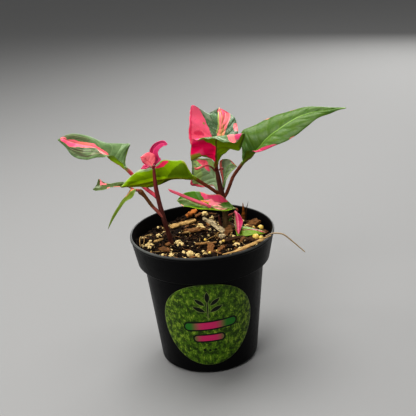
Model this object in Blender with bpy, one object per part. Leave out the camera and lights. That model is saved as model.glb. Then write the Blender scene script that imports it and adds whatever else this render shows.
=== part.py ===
"""Potted calico plant: two young variegated plants in a black nursery pot of potting mix.

The frame's origin is the middle of the pot's flat bottom, +Z is up and -Y is the front,
which carries the round label. Lengths are metres; the rows of leaf points are millimetres.
"""

import math
import random

import bmesh
import bpy
import numpy as np
from mathutils import Matrix, Vector, noise

MM = 0.001
GAP = 0.0003                      # what neighbouring solids keep clear of each other

# Pot: a tapered nursery pot with a wide rim band
POT_HEIGHT = 0.095
RIM_RADIUS = 0.050                # outside, at the lip
BAND_HEIGHT = 0.0213
BAND_FOOT_RADIUS = 0.0461         # outside, at the band's lower edge
SHOULDER_RADIUS = 0.0419          # outside, just under the band
BASE_RADIUS = 0.0346
WALL = 0.0013
FLOOR_THICKNESS = 0.0016
POT_SIDES = 60
DRAIN_HOLES = 8
DRAIN_HOLE_RADIUS = 0.0035
DRAIN_RING_RADIUS = 0.024

# Label: a round sticker wrapped on the tapered wall
LABEL_RADIUS = 0.0325
LABEL_MIDDLE = 0.0402             # height of its centre
LABEL_THICKNESS = 0.0004
LABEL_RINGS = 7
LABEL_SIDES = 40

# Potting mix
MIX_LEVEL = 0.0876                # the surface's height at the pot's middle
MIX_SLOPE = -0.045                # it rises towards the front
MIX_RINGS = 11
MIX_SIDES = 40
MIX_SEED = 19
SMALL_LUMPS = 16
MIX_GAP = 0.0007                  # between the mix and the pot's faceted wall
LUMP_SINK = 0.35                  # share of a lump's height under the surface

# Larger lumps of perlite and fertiliser prills: x, y, radius in millimetres
LUMPS = [
    (-1, 23, 3.2), (2.5, 41, 2.8), (8, 37, 2.0), (-42, 10.5, 2.4), (-37.5, -4.5, 3.2), (-37, -13, 1.8),
    (-17, -5, 2.8), (-8.5, -30, 2.9), (-3.5, -32.5, 2.4), (-19.5, -28.5, 2.0), (22.5, -19, 2.4),
    (24.5, -24, 1.7), (1, -28.5, 2.0), (41.5, 9.5, 2.3), (36, 11, 1.9), (32.5, 17, 2.3), (36.5, -8, 2.5),
    (40, -10, 1.6),
]
# Bark chips: x, y, length, width, turn and lift in millimetres and degrees
CHIPS = [
    (-14, 28, 23, 5, 30, 4), (10, 14, 20, 6.5, -68, 14), (18, 8, 16, 5, 72, 8),
    (-7, 12, 12, 4.5, -35, 6), (2, -15.5, 15, 3, -4, 3), (6, -25, 9, 7, 80, 5),
    (-7, 41, 9, 6, 12, 16), (37, 19, 9, 7, 35, 10), (-26, -20, 10, 4, -35, 4),
]
# Slivers of bark that stand on end: foot, tip, radius in millimetres
SLIVERS = [
    ((30, 31, 82), (31, 31, 100.5), 1.7),
    ((32.5, 30, 82), (35, 30, 101.5), 0.8),
]

# Stems: points of the middle line and radii, from the hole in the mix upwards
STEMS = {
    "stem_left": {
        "route": [(-20.5, -3, 77), (-22, -3, 88), (-23.5, -3, 96), (-25, -3, 102.5),
                  (-27.5, -2, 115), (-29, -1, 125.5), (-29.5, 0, 135), (-29.5, 0.5, 141)],
        "radii": [1.9, 1.85, 1.65, 1.75, 1.6, 1.5, 1.2, 0.9],
    },
    "stem_right": {
        "route": [(17.5, 19, 76), (17.5, 19, 88), (17.5, 19, 96.5), (17, 19, 104),
                  (16, 19, 111), (15, 19, 117), (14, 19, 125.5), (13, 18.5, 132)],
        "radii": [2.3, 2.3, 2.2, 2.1, 2.1, 1.8, 1.6, 1.3],
    },
    "stem_thin": {
        "route": [(15, 14.5, 77), (14.5, 14.5, 86), (13.5, 14.5, 91.5), (12.5, 14.5, 98.5)],
        "radii": [1.1, 1.1, 1.0, 0.7],
    },
}
# The side shoot grows out of the left stem and ends in a node with two leaves
SIDE_SHOOT = {
    "route": [(-26, -3, 107), (-30, -3.2, 112), (-33, -3.5, 116), (-37, -4, 123), (-39.5, -4.2, 126.3)],
    "radii": [1.2, 1.2, 1.2, 1.2, 1.2],
}
SHOOT_KNOB = ((-40, -4.3, 127.2), 2.0)
HOLE_CLEARANCE = 0.4

# Leaves. A stalk runs from its stem to the blade. Each row of a blade is a point of the midrib,
# then how far the left and the right margin lie from it, seen from the upper face with the
# tip ahead. The bulge dishes the left and right halves, and the ripple waves the margins.
BLADE_THICKNESS = 0.6
BLADE_SHARES = (-1, -0.62, -0.28, 0, 0.28, 0.62, 1)
STEPS_PER_ROW = 2
STALK_STEP = 3.0
LEAVES = {
    "leaf_left_large": {
        "held_by": "stem_left", "stalk_radius": 1.35, "bulge": (0.8, 0.8), "ripple": (0.5, 3.5),
        "stalk": [(-29, -1, 121), (-35, 6, 123.5), (-39, 11.5, 125.5), (-43, 14, 130), (-46.5, 14, 134.5)],
        "rows": [
            ((-49.5, 14, 138),),
            ((-52.5, 14, 140.5), (1.5, -1.5, 1.5), (3, 4, 2)),
            ((-55.5, 14.5, 142.5), (1.5, -4, 3.5), (7.5, 8.5, 5)),
            ((-59, 15, 145), (1.5, -5.5, 4), (13, 11, 7)),
            ((-62, 15.5, 148.5), (0, -7, 0.5), (11, 10.5, 4)),
            ((-70, 15, 154.5), (3, -9, -5), (7.5, 8, 0)),
            ((-79, 13, 158), (4.5, -9, -9), (5.5, 7, 3.5)),
            ((-85.5, 11, 161), (2.5, -6, -9), (2.5, 5, 3.5)),
            ((-89.5, 9.5, 163.5), (1, -1.5, -5.5), (0.5, 2.5, 1)),
            ((-92.5, 8, 163),),
        ],
    },
    "leaf_front_underside": {
        "held_by": "stem_right", "stalk_radius": 1.2, "bulge": (-1.5, 0), "ripple": (0.3, 3),
        "stalk": [(15.5, 19, 111), (8.5, 15, 118.5), (3.5, 13, 123), (-0.5, 11.5, 126.5)],
        "rows": [
            ((-3, 10, 129),),
            ((-6.5, 9.5, 129.5), (0.5, 2, 5), (0, 0.5, -1)),
            ((-10.5, 9, 130), (1, 3.5, 11), (-1, 1.5, -1.5)),
            ((-16.5, 8, 131), (1, 4.5, 10.5), (-2.5, 2.5, -2.5)),
            ((-24, 6.5, 131), (0, 4.5, 12), (-3.5, 4, -5.5)),
            ((-32.5, 5, 130.5), (0, 3, 10), (-2, 2.5, -5.5)),
            ((-40, 2, 130), (-0.5, 2.5, 8.5), (-0.5, 1.5, -2.5)),
            ((-47, -1, 130.5), (0, 1, 5), (0, 2, -2)),
            ((-52.5, -3.5, 130.5),),
        ],
    },
    "leaf_right_large": {
        "held_by": "stem_right", "stalk_radius": 1.2, "bulge": (1.2, 1.2), "ripple": (0.5, 5),
        "stalk": [(16.5, 19, 109.5), (19, 19, 112.5), (21.5, 19, 118), (24.5, 20, 124.5), (28.5, 20, 130)],
        "rows": [
            ((32, 20, 134.5),),
            ((35, 19.5, 137), (-3.5, 2, 2), (-2.5, -3, 3)),
            ((37.5, 19, 138.5), (-5.5, 4.5, 5.5), (-2.5, -5, 6)),
            ((40, 19, 141.5), (-7.5, 6.5, 7.5), (-1.5, -6, 3)),
            ((43.5, 18.5, 145), (-11, 8.5, 9.5), (-1.5, -6.5, -1.5)),
            ((50, 18, 152), (-11.5, 10, 5.5), (0.5, -8, -5)),
            ((59, 17, 158.5), (-9, 11, 3.5), (3.5, -8.5, -7)),
            ((70, 16, 165), (-7, 9.5, 2), (4, -8, -5.5)),
            ((81, 14, 168.5), (-6, 7, 2), (3.5, -5.5, -2.5)),
            ((91, 11.5, 170), (-2.5, 3.5, 1.5), (2.5, -2.5, -1)),
            ((102, 8, 171.5),),
        ],
    },
    "leaf_top_back": {
        "held_by": "stem_right", "stalk_radius": 0.8, "bulge": (-1, -1), "ripple": (0.5, 4),
        "stalk": [(13, 18.5, 132), (14, 21, 134.5)],
        "rows": [
            ((14, 22, 137),),
            ((15, 24, 141), (-6.5, -2, -0.5), (3.5, 0.5, -0.5)),
            ((16, 26, 146), (-18, -5, 1), (8.5, 1, -1)),
            ((17, 27.5, 150), (-21.5, -6, 4.5), (11.5, 1, 0)),
            ((17.5, 29, 153.5), (-21.5, -6, 8.5), (12.5, 1, 2)),
            ((18.5, 30, 156.5), (-21.5, -4.5, 13), (11, 2, 4)),
            ((19, 31, 160), (-19.5, -3.5, 16), (8.5, 3, 4.5)),
            ((19.5, 33.5, 165.5), (-11, -2.5, 3.5), (3.5, 2, 2.5)),
            ((18, 37, 170.5),),
        ],
    },
    "leaf_top_front": {
        "held_by": "stem_right", "stalk_radius": 1.15, "bulge": (0, 0), "ripple": (0.6, 6),
        "stalk": [(13, 18.5, 131.5), (13, 17, 133.5)],
        "rows": [
            ((12.5, 16.5, 134.5),),
            ((13, 14, 139.5), (2, 1, -1), (-1.5, 1.5, -1)),
            ((13, 11, 144.5), (5.5, 1.5, -0.5), (-9, 1.5, -1)),
            ((13.5, 8, 150), (10.5, 1, -2), (-17.5, 1.5, -8)),
            ((13.5, 4, 156), (16.5, 2, -7.5), (-17, 1, -4)),
            ((14, 0, 160), (19, 2.5, 0.5), (-16.5, 0, -1.5)),
            ((14, -3, 161), (13.5, -1, -4), (-12, -2, -0.5)),
            ((13.5, -6, 161.5), (7.5, -2, -4), (-6, -2, 0)),
            ((12.5, -9.5, 161.5),),
        ],
    },
    "leaf_low_left": {
        "held_by": "stem_right", "stalk_radius": 0.8, "bulge": (-1, -1), "ripple": (0.4, 4),
        "stalk": [(15.5, 19, 112), (14, 22, 113.5)],
        "rows": [
            ((13, 23, 114.5),),
            ((12.5, 24, 119.5), (-3, 0, -2), (1.5, 0, 2)),
            ((11, 25, 124), (-8, 0, -7.5), (2.5, -0.5, 3.5)),
            ((7, 26, 127.5), (-10, 1, -10.5), (5.5, -1.5, 5.5)),
            ((2.5, 27, 130.5), (-8.5, 1, -12), (7.5, -2, 6.5)),
            ((-0.5, 28, 132), (-4, 1, -6.5), (4.5, -1.5, 5.5)),
            ((-2.5, 28.5, 134), (-1.5, 0.5, -2.5), (2.5, -1, 3.5)),
            ((-4, 28, 136.5),),
        ],
    },
    "leaf_low_right": {
        "held_by": "stem_right", "stalk_radius": 0.8, "bulge": (-0.5, -0.5), "ripple": (0.2, 3),
        "stalk": [(15.5, 19, 113), (17, 22, 114.5)],
        "rows": [
            ((17.5, 22.5, 116.5),),
            ((18.5, 23.5, 122), (-2, 0, 1), (1, -0.5, -1)),
            ((20, 25, 127), (-4.5, 0, 2), (2, -1, -2)),
            ((21.5, 26.5, 130), (-5, 0.5, 5), (3, -1.5, -2.5)),
            ((24.5, 27.5, 131), (-1.5, 1.5, 3.5), (1.5, -1, -3)),
            ((28, 28, 129.5),),
        ],
    },
    "leaf_lower_front": {
        "held_by": "stem_right", "stalk_radius": 0.65, "bulge": (-1.6, -1), "ripple": (0.3, 3),
        "stalk": [(17.5, 19, 95.5), (21, 18, 97), (25, 17, 98.5), (26, 16, 101)],
        "rows": [
            ((24, 15, 102.5),),
            ((20.5, 13, 104), (1, -1.5, -1), (1.5, 2, 2)),
            ((16.5, 11.5, 105), (0.5, -3, -1.5), (2, 3.5, 4.5)),
            ((11, 10.5, 106.5), (0.5, -4, -1.5), (3, 3.5, 7.5)),
            ((5, 10, 107), (0, -4, -0.5), (1.5, 4.5, 7.5)),
            ((-1, 10, 108.5), (-1, -4, -1), (2.5, 7, 7)),
            ((-6.5, 10.5, 111), (-1.5, -4, -2), (1.5, 7.5, 5.5)),
            ((-11, 10.5, 113.5), (-1.5, -2.5, -3.5), (0, 5.5, 2.5)),
            ((-16, 11, 113),),
        ],
    },
    "leaf_furled": {
        "held_by": "stem_right", "stalk_radius": 0.9, "bulge": (0, 0), "ripple": (0, 3),
        "stalk": [(7, 8, 107.5), (5.5, 7.5, 108.5)],
        "rows": [
            ((4.5, 7, 109.5),),
            ((-1.5, 6, 112.5), (0, 0.5, -1), (0, 0.5, 1)),
            ((-8, 6, 116), (0, 0, -1), (0, 0, 1)),
            ((-15, 5, 120), (0, 0, -1), (0.5, 0, 1)),
            ((-20, 4.5, 123), (0, 0, -1), (0.5, 0, 0.5)),
            ((-21, 4.5, 124),),
        ],
    },
    "leaf_droop": {
        "held_by": "side_shoot", "stalk_radius": 0.7, "bulge": (0, 0), "ripple": (0, 3),
        "stalk": [(-40, -4.5, 127.5), (-41, -6, 128.5)],
        "rows": [
            ((-42.5, -6.5, 129),),
            ((-45, -7, 128), (-1, 3.5, 0.5), (1.5, -2.5, -1)),
            ((-47, -6.5, 126), (-2, 4, -1.5), (1.5, -3.5, -1.5)),
            ((-51, -6, 121.5), (-2, 3, -1), (1, -3.5, 0.5)),
            ((-56, -5.5, 116), (-0.5, 2.5, -0.5), (1.5, -2, 0)),
            ((-60, -5, 110), (-0.5, 1, -0.5), (1, -1, -0.5)),
            ((-64, -4.5, 101.5),),
        ],
    },
    "leaf_far_left": {
        "held_by": "side_shoot", "stalk_radius": 0.8, "bulge": (0, 0), "ripple": (0, 3),
        "stalk": [(-40.5, -4.5, 127.5), (-44, 0.5, 126.5), (-46.5, 4, 127)],
        "rows": [
            ((-48.5, 5.5, 128),),
            ((-51, 5, 129.5), (0, 3.5, 0.5), (0, -2, -1.5)),
            ((-55.5, 3, 130.5), (-0.5, 4.5, 0), (0.5, -2.5, -1)),
            ((-60, 2, 130), (-0.5, 4, 0.5), (0.5, -3, 0)),
            ((-65, 1.5, 129.5), (0, 5.5, 2), (1, -3.5, -0.5)),
            ((-68, 1.5, 129), (0, 5.5, 5), (0, -2.5, -0.5)),
            ((-70.5, 1.5, 129), (1, 2, 2), (0.5, -1.5, -1)),
            ((-72, 1, 128.5),),
        ],
    },
    "leaf_young_salmon": {
        "held_by": "stem_left", "stalk_radius": 0.6, "bulge": (0, 0), "ripple": (0, 3),
        "stalk": [(-30, 0.5, 141), (-30, -0.5, 142.5)],
        "rows": [
            ((-30.5, -1, 143.5),),
            ((-31.5, -1, 145.5), (-0.5, -0.5, -2), (3.5, 1.5, 0.5)),
            ((-33.5, -1.5, 147.5), (-1.5, -1, -2.5), (5.5, 2.5, 2.5)),
            ((-35, -2.5, 149.5), (-1.5, -1, -2.5), (2.5, 2.5, 3)),
            ((-37.5, -3.5, 150.5),),
        ],
    },
    "leaf_young_curled": {
        "held_by": "stem_left", "stalk_radius": 0.55, "bulge": (0, 0), "ripple": (0, 3),
        "stalk": [(-29.5, 0.5, 141), (-29, 2, 141.5)],
        "rows": [
            ((-29, 3, 142),),
            ((-29, 4.5, 145), (-2, -1, 1), (4.5, -1.5, 0.5)),
            ((-29, 5, 148), (-2, -1.5, 1), (3.5, -2, 0)),
            ((-29.5, 5, 151.5), (-2, -1.5, 1), (3.5, -2, -0.5)),
            ((-27.5, 4.5, 154.5), (-1.5, -1.5, 2), (3, -2, -1)),
            ((-24, 3.5, 157), (-1, -1.5, 2), (2, -2, -1.5)),
            ((-21, 2, 157.5), (0, -1, 2), (1, -1, -1.5)),
            ((-19, 0.5, 157),),
        ],
    },
    "leaf_young_magenta": {
        "held_by": "stem_left", "stalk_radius": 0.5, "bulge": (0, 0), "ripple": (0, 3),
        "stalk": [(-30, 0.5, 141), (-31, 2.5, 141)],
        "rows": [
            ((-32.5, 3, 141.5),),
            ((-34.5, 3, 141.5), (0, -1, -1), (0.5, 1, 1)),
            ((-36, 2.5, 141.5), (-0.5, -1, -1), (0, 1.5, 1.5)),
            ((-38.5, 2, 140.5),),
        ],
    },
    "leaf_hanging_magenta": {
        "held_by": "stem_right", "stalk_radius": 0.6, "bulge": (0, 0), "ripple": (0, 3),
        "stalk": [(17.5, 19, 93.5), (21, 14, 97), (23, 11, 100)],
        "rows": [
            ((24, 9.5, 102.5),),
            ((25, 6.5, 101), (-1.5, 1.5, -1), (2, 0, 0)),
            ((25.5, 2.5, 97.5), (-2.5, 2, -1), (3.5, 1, -0.5)),
            ((25, -4, 94.5), (-1.5, 2, -1.5), (2, 0.5, 0)),
            ((25, -8, 92),),
        ],
    },
    "leaf_ground_green": {
        "held_by": "stem_right", "stalk_radius": 0.6, "bulge": (0, 0), "ripple": (0, 3),
        "stalk": [(17, 19, 89.5), (20, 13.5, 92), (22, 8, 93), (23.5, 4, 92.5)],
        "rows": [
            ((23.5, 3, 91),),
            ((25, 1, 92), (0, 3.5, 2.5), (-1, -4.5, -3.5)),
            ((28, -1.5, 92.5), (0.5, 4.5, 1), (-1, -4, -3.5)),
            ((32.5, -2, 92.5), (0.5, 4.5, 0), (-1.5, -4, -3)),
            ((37.5, -2.5, 92), (0, 3, -0.5), (-1, -3, -2)),
            ((40.5, -3.5, 91), (0, 2, 0.5), (-0.5, -1.5, -1.5)),
            ((44.5, -4, 90),),
        ],
    },
}

# A strip of bark on the lip, and the dry root that pokes out beside it
STRIP = {
    "route": [(12, -40, 92.2), (20, -40, 93.6), (29, -37.5, 95.8), (38, -31.5, 96.8), (45.5, -26.5, 97.4)],
    "width": 3.4, "thickness": 0.9,
}
# Shrivelled and budding leaves too small for a blade: middle line and radii
LEAFLETS = {
    "leaf_shrivelled": {
        "route": [(11.2, 17.8, 130.9), (10.2, 17, 132.9), (8.1, 16, 134.9), (5.9, 15.5, 135.6),
                  (3.6, 15, 135.2), (1.2, 14.5, 134.4), (-1, 14, 134), (-2.1, 13.6, 135.4)],
        "radii": [0.5, 0.55, 0.6, 0.6, 0.7, 0.75, 0.8, 0.4],
    },
    "leaf_bud": {
        "route": [(14.8, 17.5, 131), (15.9, 17.1, 132.1), (17, 16.8, 132.2), (17.7, 16.7, 131.2)],
        "radii": [0.5, 0.6, 0.75, 0.5],
    },
    "leaf_shoot": {
        "route": [(20.3, 18, 92.6), (21, 17.6, 94), (21.9, 17.2, 95.6)],
        "radii": [0.5, 0.9, 0.35],
    },
}
ROOT = {
    "route": [(41.5, -29.4, 98.4), (46, -26.6, 98.8), (51, -25, 97.8), (55, -24, 95.6), (62, -23, 88.5),
              (68.5, -22, 81.5)],
    "radii": [0.3, 0.45, 0.5, 0.5, 0.42, 0.35],
}

COLOURS = {
    "black plastic": (0.012, 0.012, 0.013), "label": (0.10, 0.22, 0.03), "mix": (0.045, 0.028, 0.018),
    "stem": (0.13, 0.03, 0.025), "leaf": (0.08, 0.20, 0.05), "pink leaf": (0.75, 0.06, 0.15),
    "bark": (0.32, 0.17, 0.08),
}
PINK_LEAVES = ("leaf_furled", "leaf_young_salmon", "leaf_young_curled", "leaf_young_magenta",
               "leaf_hanging_magenta", "leaf_shrivelled", "leaf_bud")


def clear_scene():
    """Remove whatever the scene held before."""
    for thing in list(bpy.data.objects):
        bpy.data.objects.remove(thing, do_unlink=True)


def material(name, roughness=0.5):
    """A plain Principled material in the named colour."""
    found = bpy.data.materials.get(name)
    if found:
        return found
    made = bpy.data.materials.new(name)
    made.use_nodes = True
    shader = made.node_tree.nodes["Principled BSDF"]
    shader.inputs["Base Color"].default_value = (*COLOURS[name], 1)
    shader.inputs["Roughness"].default_value = roughness
    shader.inputs["Metallic"].default_value = 0
    made.diffuse_color = (*COLOURS[name], 1)
    return made


def new_object(name, points, faces, look, roughness=0.5, smooth=50):
    """An object of the given points and faces, its faces turned outwards."""
    mesh = bpy.data.meshes.new(name)
    mesh.from_pydata([tuple(p) for p in points], [], faces)
    shape = bmesh.new()
    shape.from_mesh(mesh)
    bmesh.ops.recalc_face_normals(shape, faces=shape.faces[:])
    shape.to_mesh(mesh)
    shape.free()
    mesh.shade_smooth()
    mesh.set_sharp_from_angle(angle=math.radians(smooth))
    made = bpy.data.objects.new(name, mesh)
    bpy.context.scene.collection.objects.link(made)
    mesh.materials.append(material(look, roughness))
    return made


def union_all(host, pieces):
    """Join the pieces into the host with one Boolean union, and remove them."""
    group = bpy.data.collections.new(host.name + " pieces")
    for piece in pieces:
        bpy.context.scene.collection.objects.unlink(piece)
        group.objects.link(piece)
    cut_or_join(host, "UNION", collection=group)
    for piece in pieces:
        bpy.data.objects.remove(piece, do_unlink=True)
    bpy.data.collections.remove(group)


def cut_or_join(host, operation, collection=None, other=None):
    """Apply one exact Boolean to the host."""
    step = host.modifiers.new("boolean", "BOOLEAN")
    step.operation = operation
    step.solver = "EXACT"
    if collection:
        step.operand_type = "COLLECTION"
        step.collection = collection
    else:
        step.object = other
    evaluated = host.evaluated_get(bpy.context.evaluated_depsgraph_get())
    result = bpy.data.meshes.new_from_object(evaluated)
    host.modifiers.remove(step)
    old = host.data
    host.data = result
    bpy.data.meshes.remove(old)


def turned(name, profile, look, sides, roughness=0.5):
    """A solid turned round the Z axis from a profile that starts and ends on the axis."""
    angles = np.linspace(0, 2 * math.pi, sides, endpoint=False)
    points = []
    rings = []
    for radius, height in profile:
        if radius < 1e-9:
            rings.append([len(points)])
            points.append((0, 0, height))
        else:
            rings.append(list(range(len(points), len(points) + sides)))
            points += [(radius * math.cos(a), radius * math.sin(a), height) for a in angles]
    faces = []
    for low, high in zip(rings[:-1], rings[1:]):
        for k in range(sides):
            n = (k + 1) % sides
            if len(low) == 1:
                faces.append((low[0], high[n], high[k]))
            elif len(high) == 1:
                faces.append((low[k], low[n], high[0]))
            else:
                faces.append((low[k], low[n], high[n], high[k]))
    return new_object(name, points, faces, look, roughness)


def arc(centre, radius, start, end, steps):
    """Points of an arc in the profile's plane, angles in degrees."""
    turns = [math.radians(start + (end - start) * k / steps) for k in range(steps + 1)]
    return [(centre[0] + radius * math.cos(t), centre[1] + radius * math.sin(t)) for t in turns]


def inner_radius(height):
    """The pot's inside radius at a height."""
    band_foot = POT_HEIGHT - BAND_HEIGHT
    if height > band_foot + WALL:
        rise = (height - band_foot) / BAND_HEIGHT
        return BAND_FOOT_RADIUS + (RIM_RADIUS - BAND_FOOT_RADIUS) * rise - WALL
    rise = height / band_foot
    return BASE_RADIUS + (SHOULDER_RADIUS - BASE_RADIUS) * rise - WALL


def build_pot():
    """The pot's wall, stepped at the band, with a rolled lip and a ring of drain holes."""
    band_foot = POT_HEIGHT - BAND_HEIGHT
    corner = 0.0025
    lip = 0.0009
    outer = [(0, 0)]
    outer += arc((BASE_RADIUS - corner, corner), corner, -90, -8, 4)
    outer += [(SHOULDER_RADIUS, band_foot)]
    outer += arc((BAND_FOOT_RADIUS - corner, band_foot + corner), corner, -90, 8, 4)
    outer += arc((RIM_RADIUS - lip, POT_HEIGHT - lip), lip, 10, 180, 5)
    step_height = band_foot + WALL
    inner = [(inner_radius(step_height + 0.0012), step_height + 0.0012)]
    inner += [(inner_radius(step_height + 0.0012) - 0.0012, step_height)]
    inner += [(inner_radius(step_height - 0.0001), step_height)]
    inner += [(inner_radius(0.004), 0.004), (inner_radius(0.004) - 0.002, FLOOR_THICKNESS)]
    inner += [(0, FLOOR_THICKNESS)]
    pot = turned("pot", outer + inner, "black plastic", POT_SIDES, 0.45)
    cutters = []
    for k in range(DRAIN_HOLES):
        turn = 2 * math.pi * (k + 0.5) / DRAIN_HOLES
        depth = 3 * FLOOR_THICKNESS
        cutter = turned("drain cutter", [(0, -depth), (DRAIN_HOLE_RADIUS, -depth),
                                         (DRAIN_HOLE_RADIUS, depth), (0, depth)], "black plastic", 12)
        cutter.data.transform(Matrix.Translation((DRAIN_RING_RADIUS * math.cos(turn),
                                                  DRAIN_RING_RADIUS * math.sin(turn), 0)))
        cutters.append(cutter)
    group = bpy.data.collections.new("drain cutters")
    for cutter in cutters:
        bpy.context.scene.collection.objects.unlink(cutter)
        group.objects.link(cutter)
    cut_or_join(pot, "DIFFERENCE", collection=group)
    for cutter in cutters:
        bpy.data.objects.remove(cutter, do_unlink=True)
    bpy.data.collections.remove(group)
    return pot


def build_label():
    """A thin round disc bent onto the tapered front of the pot."""
    slant = math.atan2(SHOULDER_RADIUS - BASE_RADIUS, POT_HEIGHT - BAND_HEIGHT)
    points = []
    for lift in (GAP, GAP + LABEL_THICKNESS):
        for ring in range(LABEL_RINGS + 1):
            reach = LABEL_RADIUS * ring / LABEL_RINGS
            for k in range(LABEL_SIDES if ring else 1):
                turn = 2 * math.pi * k / LABEL_SIDES
                across = reach * math.sin(turn)
                height = LABEL_MIDDLE + reach * math.cos(turn) * math.cos(slant)
                wall = BASE_RADIUS + math.tan(slant) * height + lift
                bend = across / (BASE_RADIUS + math.tan(slant) * height)
                points.append((wall * math.sin(bend), -wall * math.cos(bend), height))
    per_side = 1 + LABEL_RINGS * LABEL_SIDES
    faces = []
    for side in range(2):
        base = side * per_side
        for k in range(LABEL_SIDES):
            n = (k + 1) % LABEL_SIDES
            fan = (base, base + 1 + k, base + 1 + n)
            faces.append(fan if side else fan[::-1])
            for ring in range(LABEL_RINGS - 1):
                start = base + 1 + ring * LABEL_SIDES
                face = (start + k, start + LABEL_SIDES + k, start + LABEL_SIDES + n, start + n)
                faces.append(face if side else face[::-1])
    edge = 1 + (LABEL_RINGS - 1) * LABEL_SIDES
    for k in range(LABEL_SIDES):
        n = (k + 1) % LABEL_SIDES
        faces.append((edge + k, edge + n, per_side + edge + n, per_side + edge + k))
    return new_object("label", points, faces, "label", 0.35)


def mix_height(x, y):
    """The potting mix's surface: a gentle slope, a mound at the back and a low rough relief."""
    rough = 0.0011 * noise.noise(Vector((x * 95, y * 95, 4.1)))
    mound = 0.0035 * math.exp(-((x / 0.018) ** 2 + ((y - 0.043) / 0.010) ** 2))
    hollow = -0.0022 * math.exp(-(((x + 0.030) / 0.014) ** 2 + ((y - 0.030) / 0.014) ** 2))
    return MIX_LEVEL + MIX_SLOPE * y + rough + mound + hollow


def lump(x, y, radius, rng, detail=1):
    """A rough grain, most of it standing out of the mix."""
    shape = bmesh.new()
    bmesh.ops.create_icosphere(shape, subdivisions=detail, radius=radius)
    for corner in shape.verts:
        corner.co *= rng.uniform(0.82, 1.08)
        corner.co.z *= 0.85
    mesh = bpy.data.meshes.new("lump")
    shape.to_mesh(mesh)
    shape.free()
    rise = mix_height(x, y) + radius * (1 - 2 * LUMP_SINK) * 0.85
    mesh.transform(Matrix.Translation((x, y, rise)) @ Matrix.Rotation(rng.uniform(0, 6), 4, "Z"))
    made = bpy.data.objects.new("lump", mesh)
    bpy.context.scene.collection.objects.link(made)
    return made


def chip(x, y, length, width, turn, lift):
    """A curved flake of bark, sunk a little into the mix."""
    points = []
    faces = []
    stations = 5
    for k in range(stations):
        share = k / (stations - 1)
        along = (share - 0.5) * length
        half = width / 2 * (0.55 + 0.9 * share * (1.25 - share))
        arch = 0.0009 * math.sin(math.pi * share)
        for side, level in ((-1, -0.0012), (1, -0.0012), (0.85, 0.0008), (-0.85, 0.0008)):
            points.append((along, half * side, level + arch))
        if k:
            low = 4 * (k - 1)
            for c in range(4):
                faces.append((low + c, low + (c + 1) % 4, low + 4 + (c + 1) % 4, low + 4 + c))
    faces += [(3, 2, 1, 0), tuple(4 * stations - 4 + c for c in range(4))]
    made = new_object("chip", points, faces, "bark")
    place = Matrix.Translation((x, y, mix_height(x, y) + 0.0008))
    made.data.transform(place @ Matrix.Rotation(math.radians(turn), 4, "Z")
                        @ Matrix.Rotation(math.radians(-lift), 4, "Y"))
    return made


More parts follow.
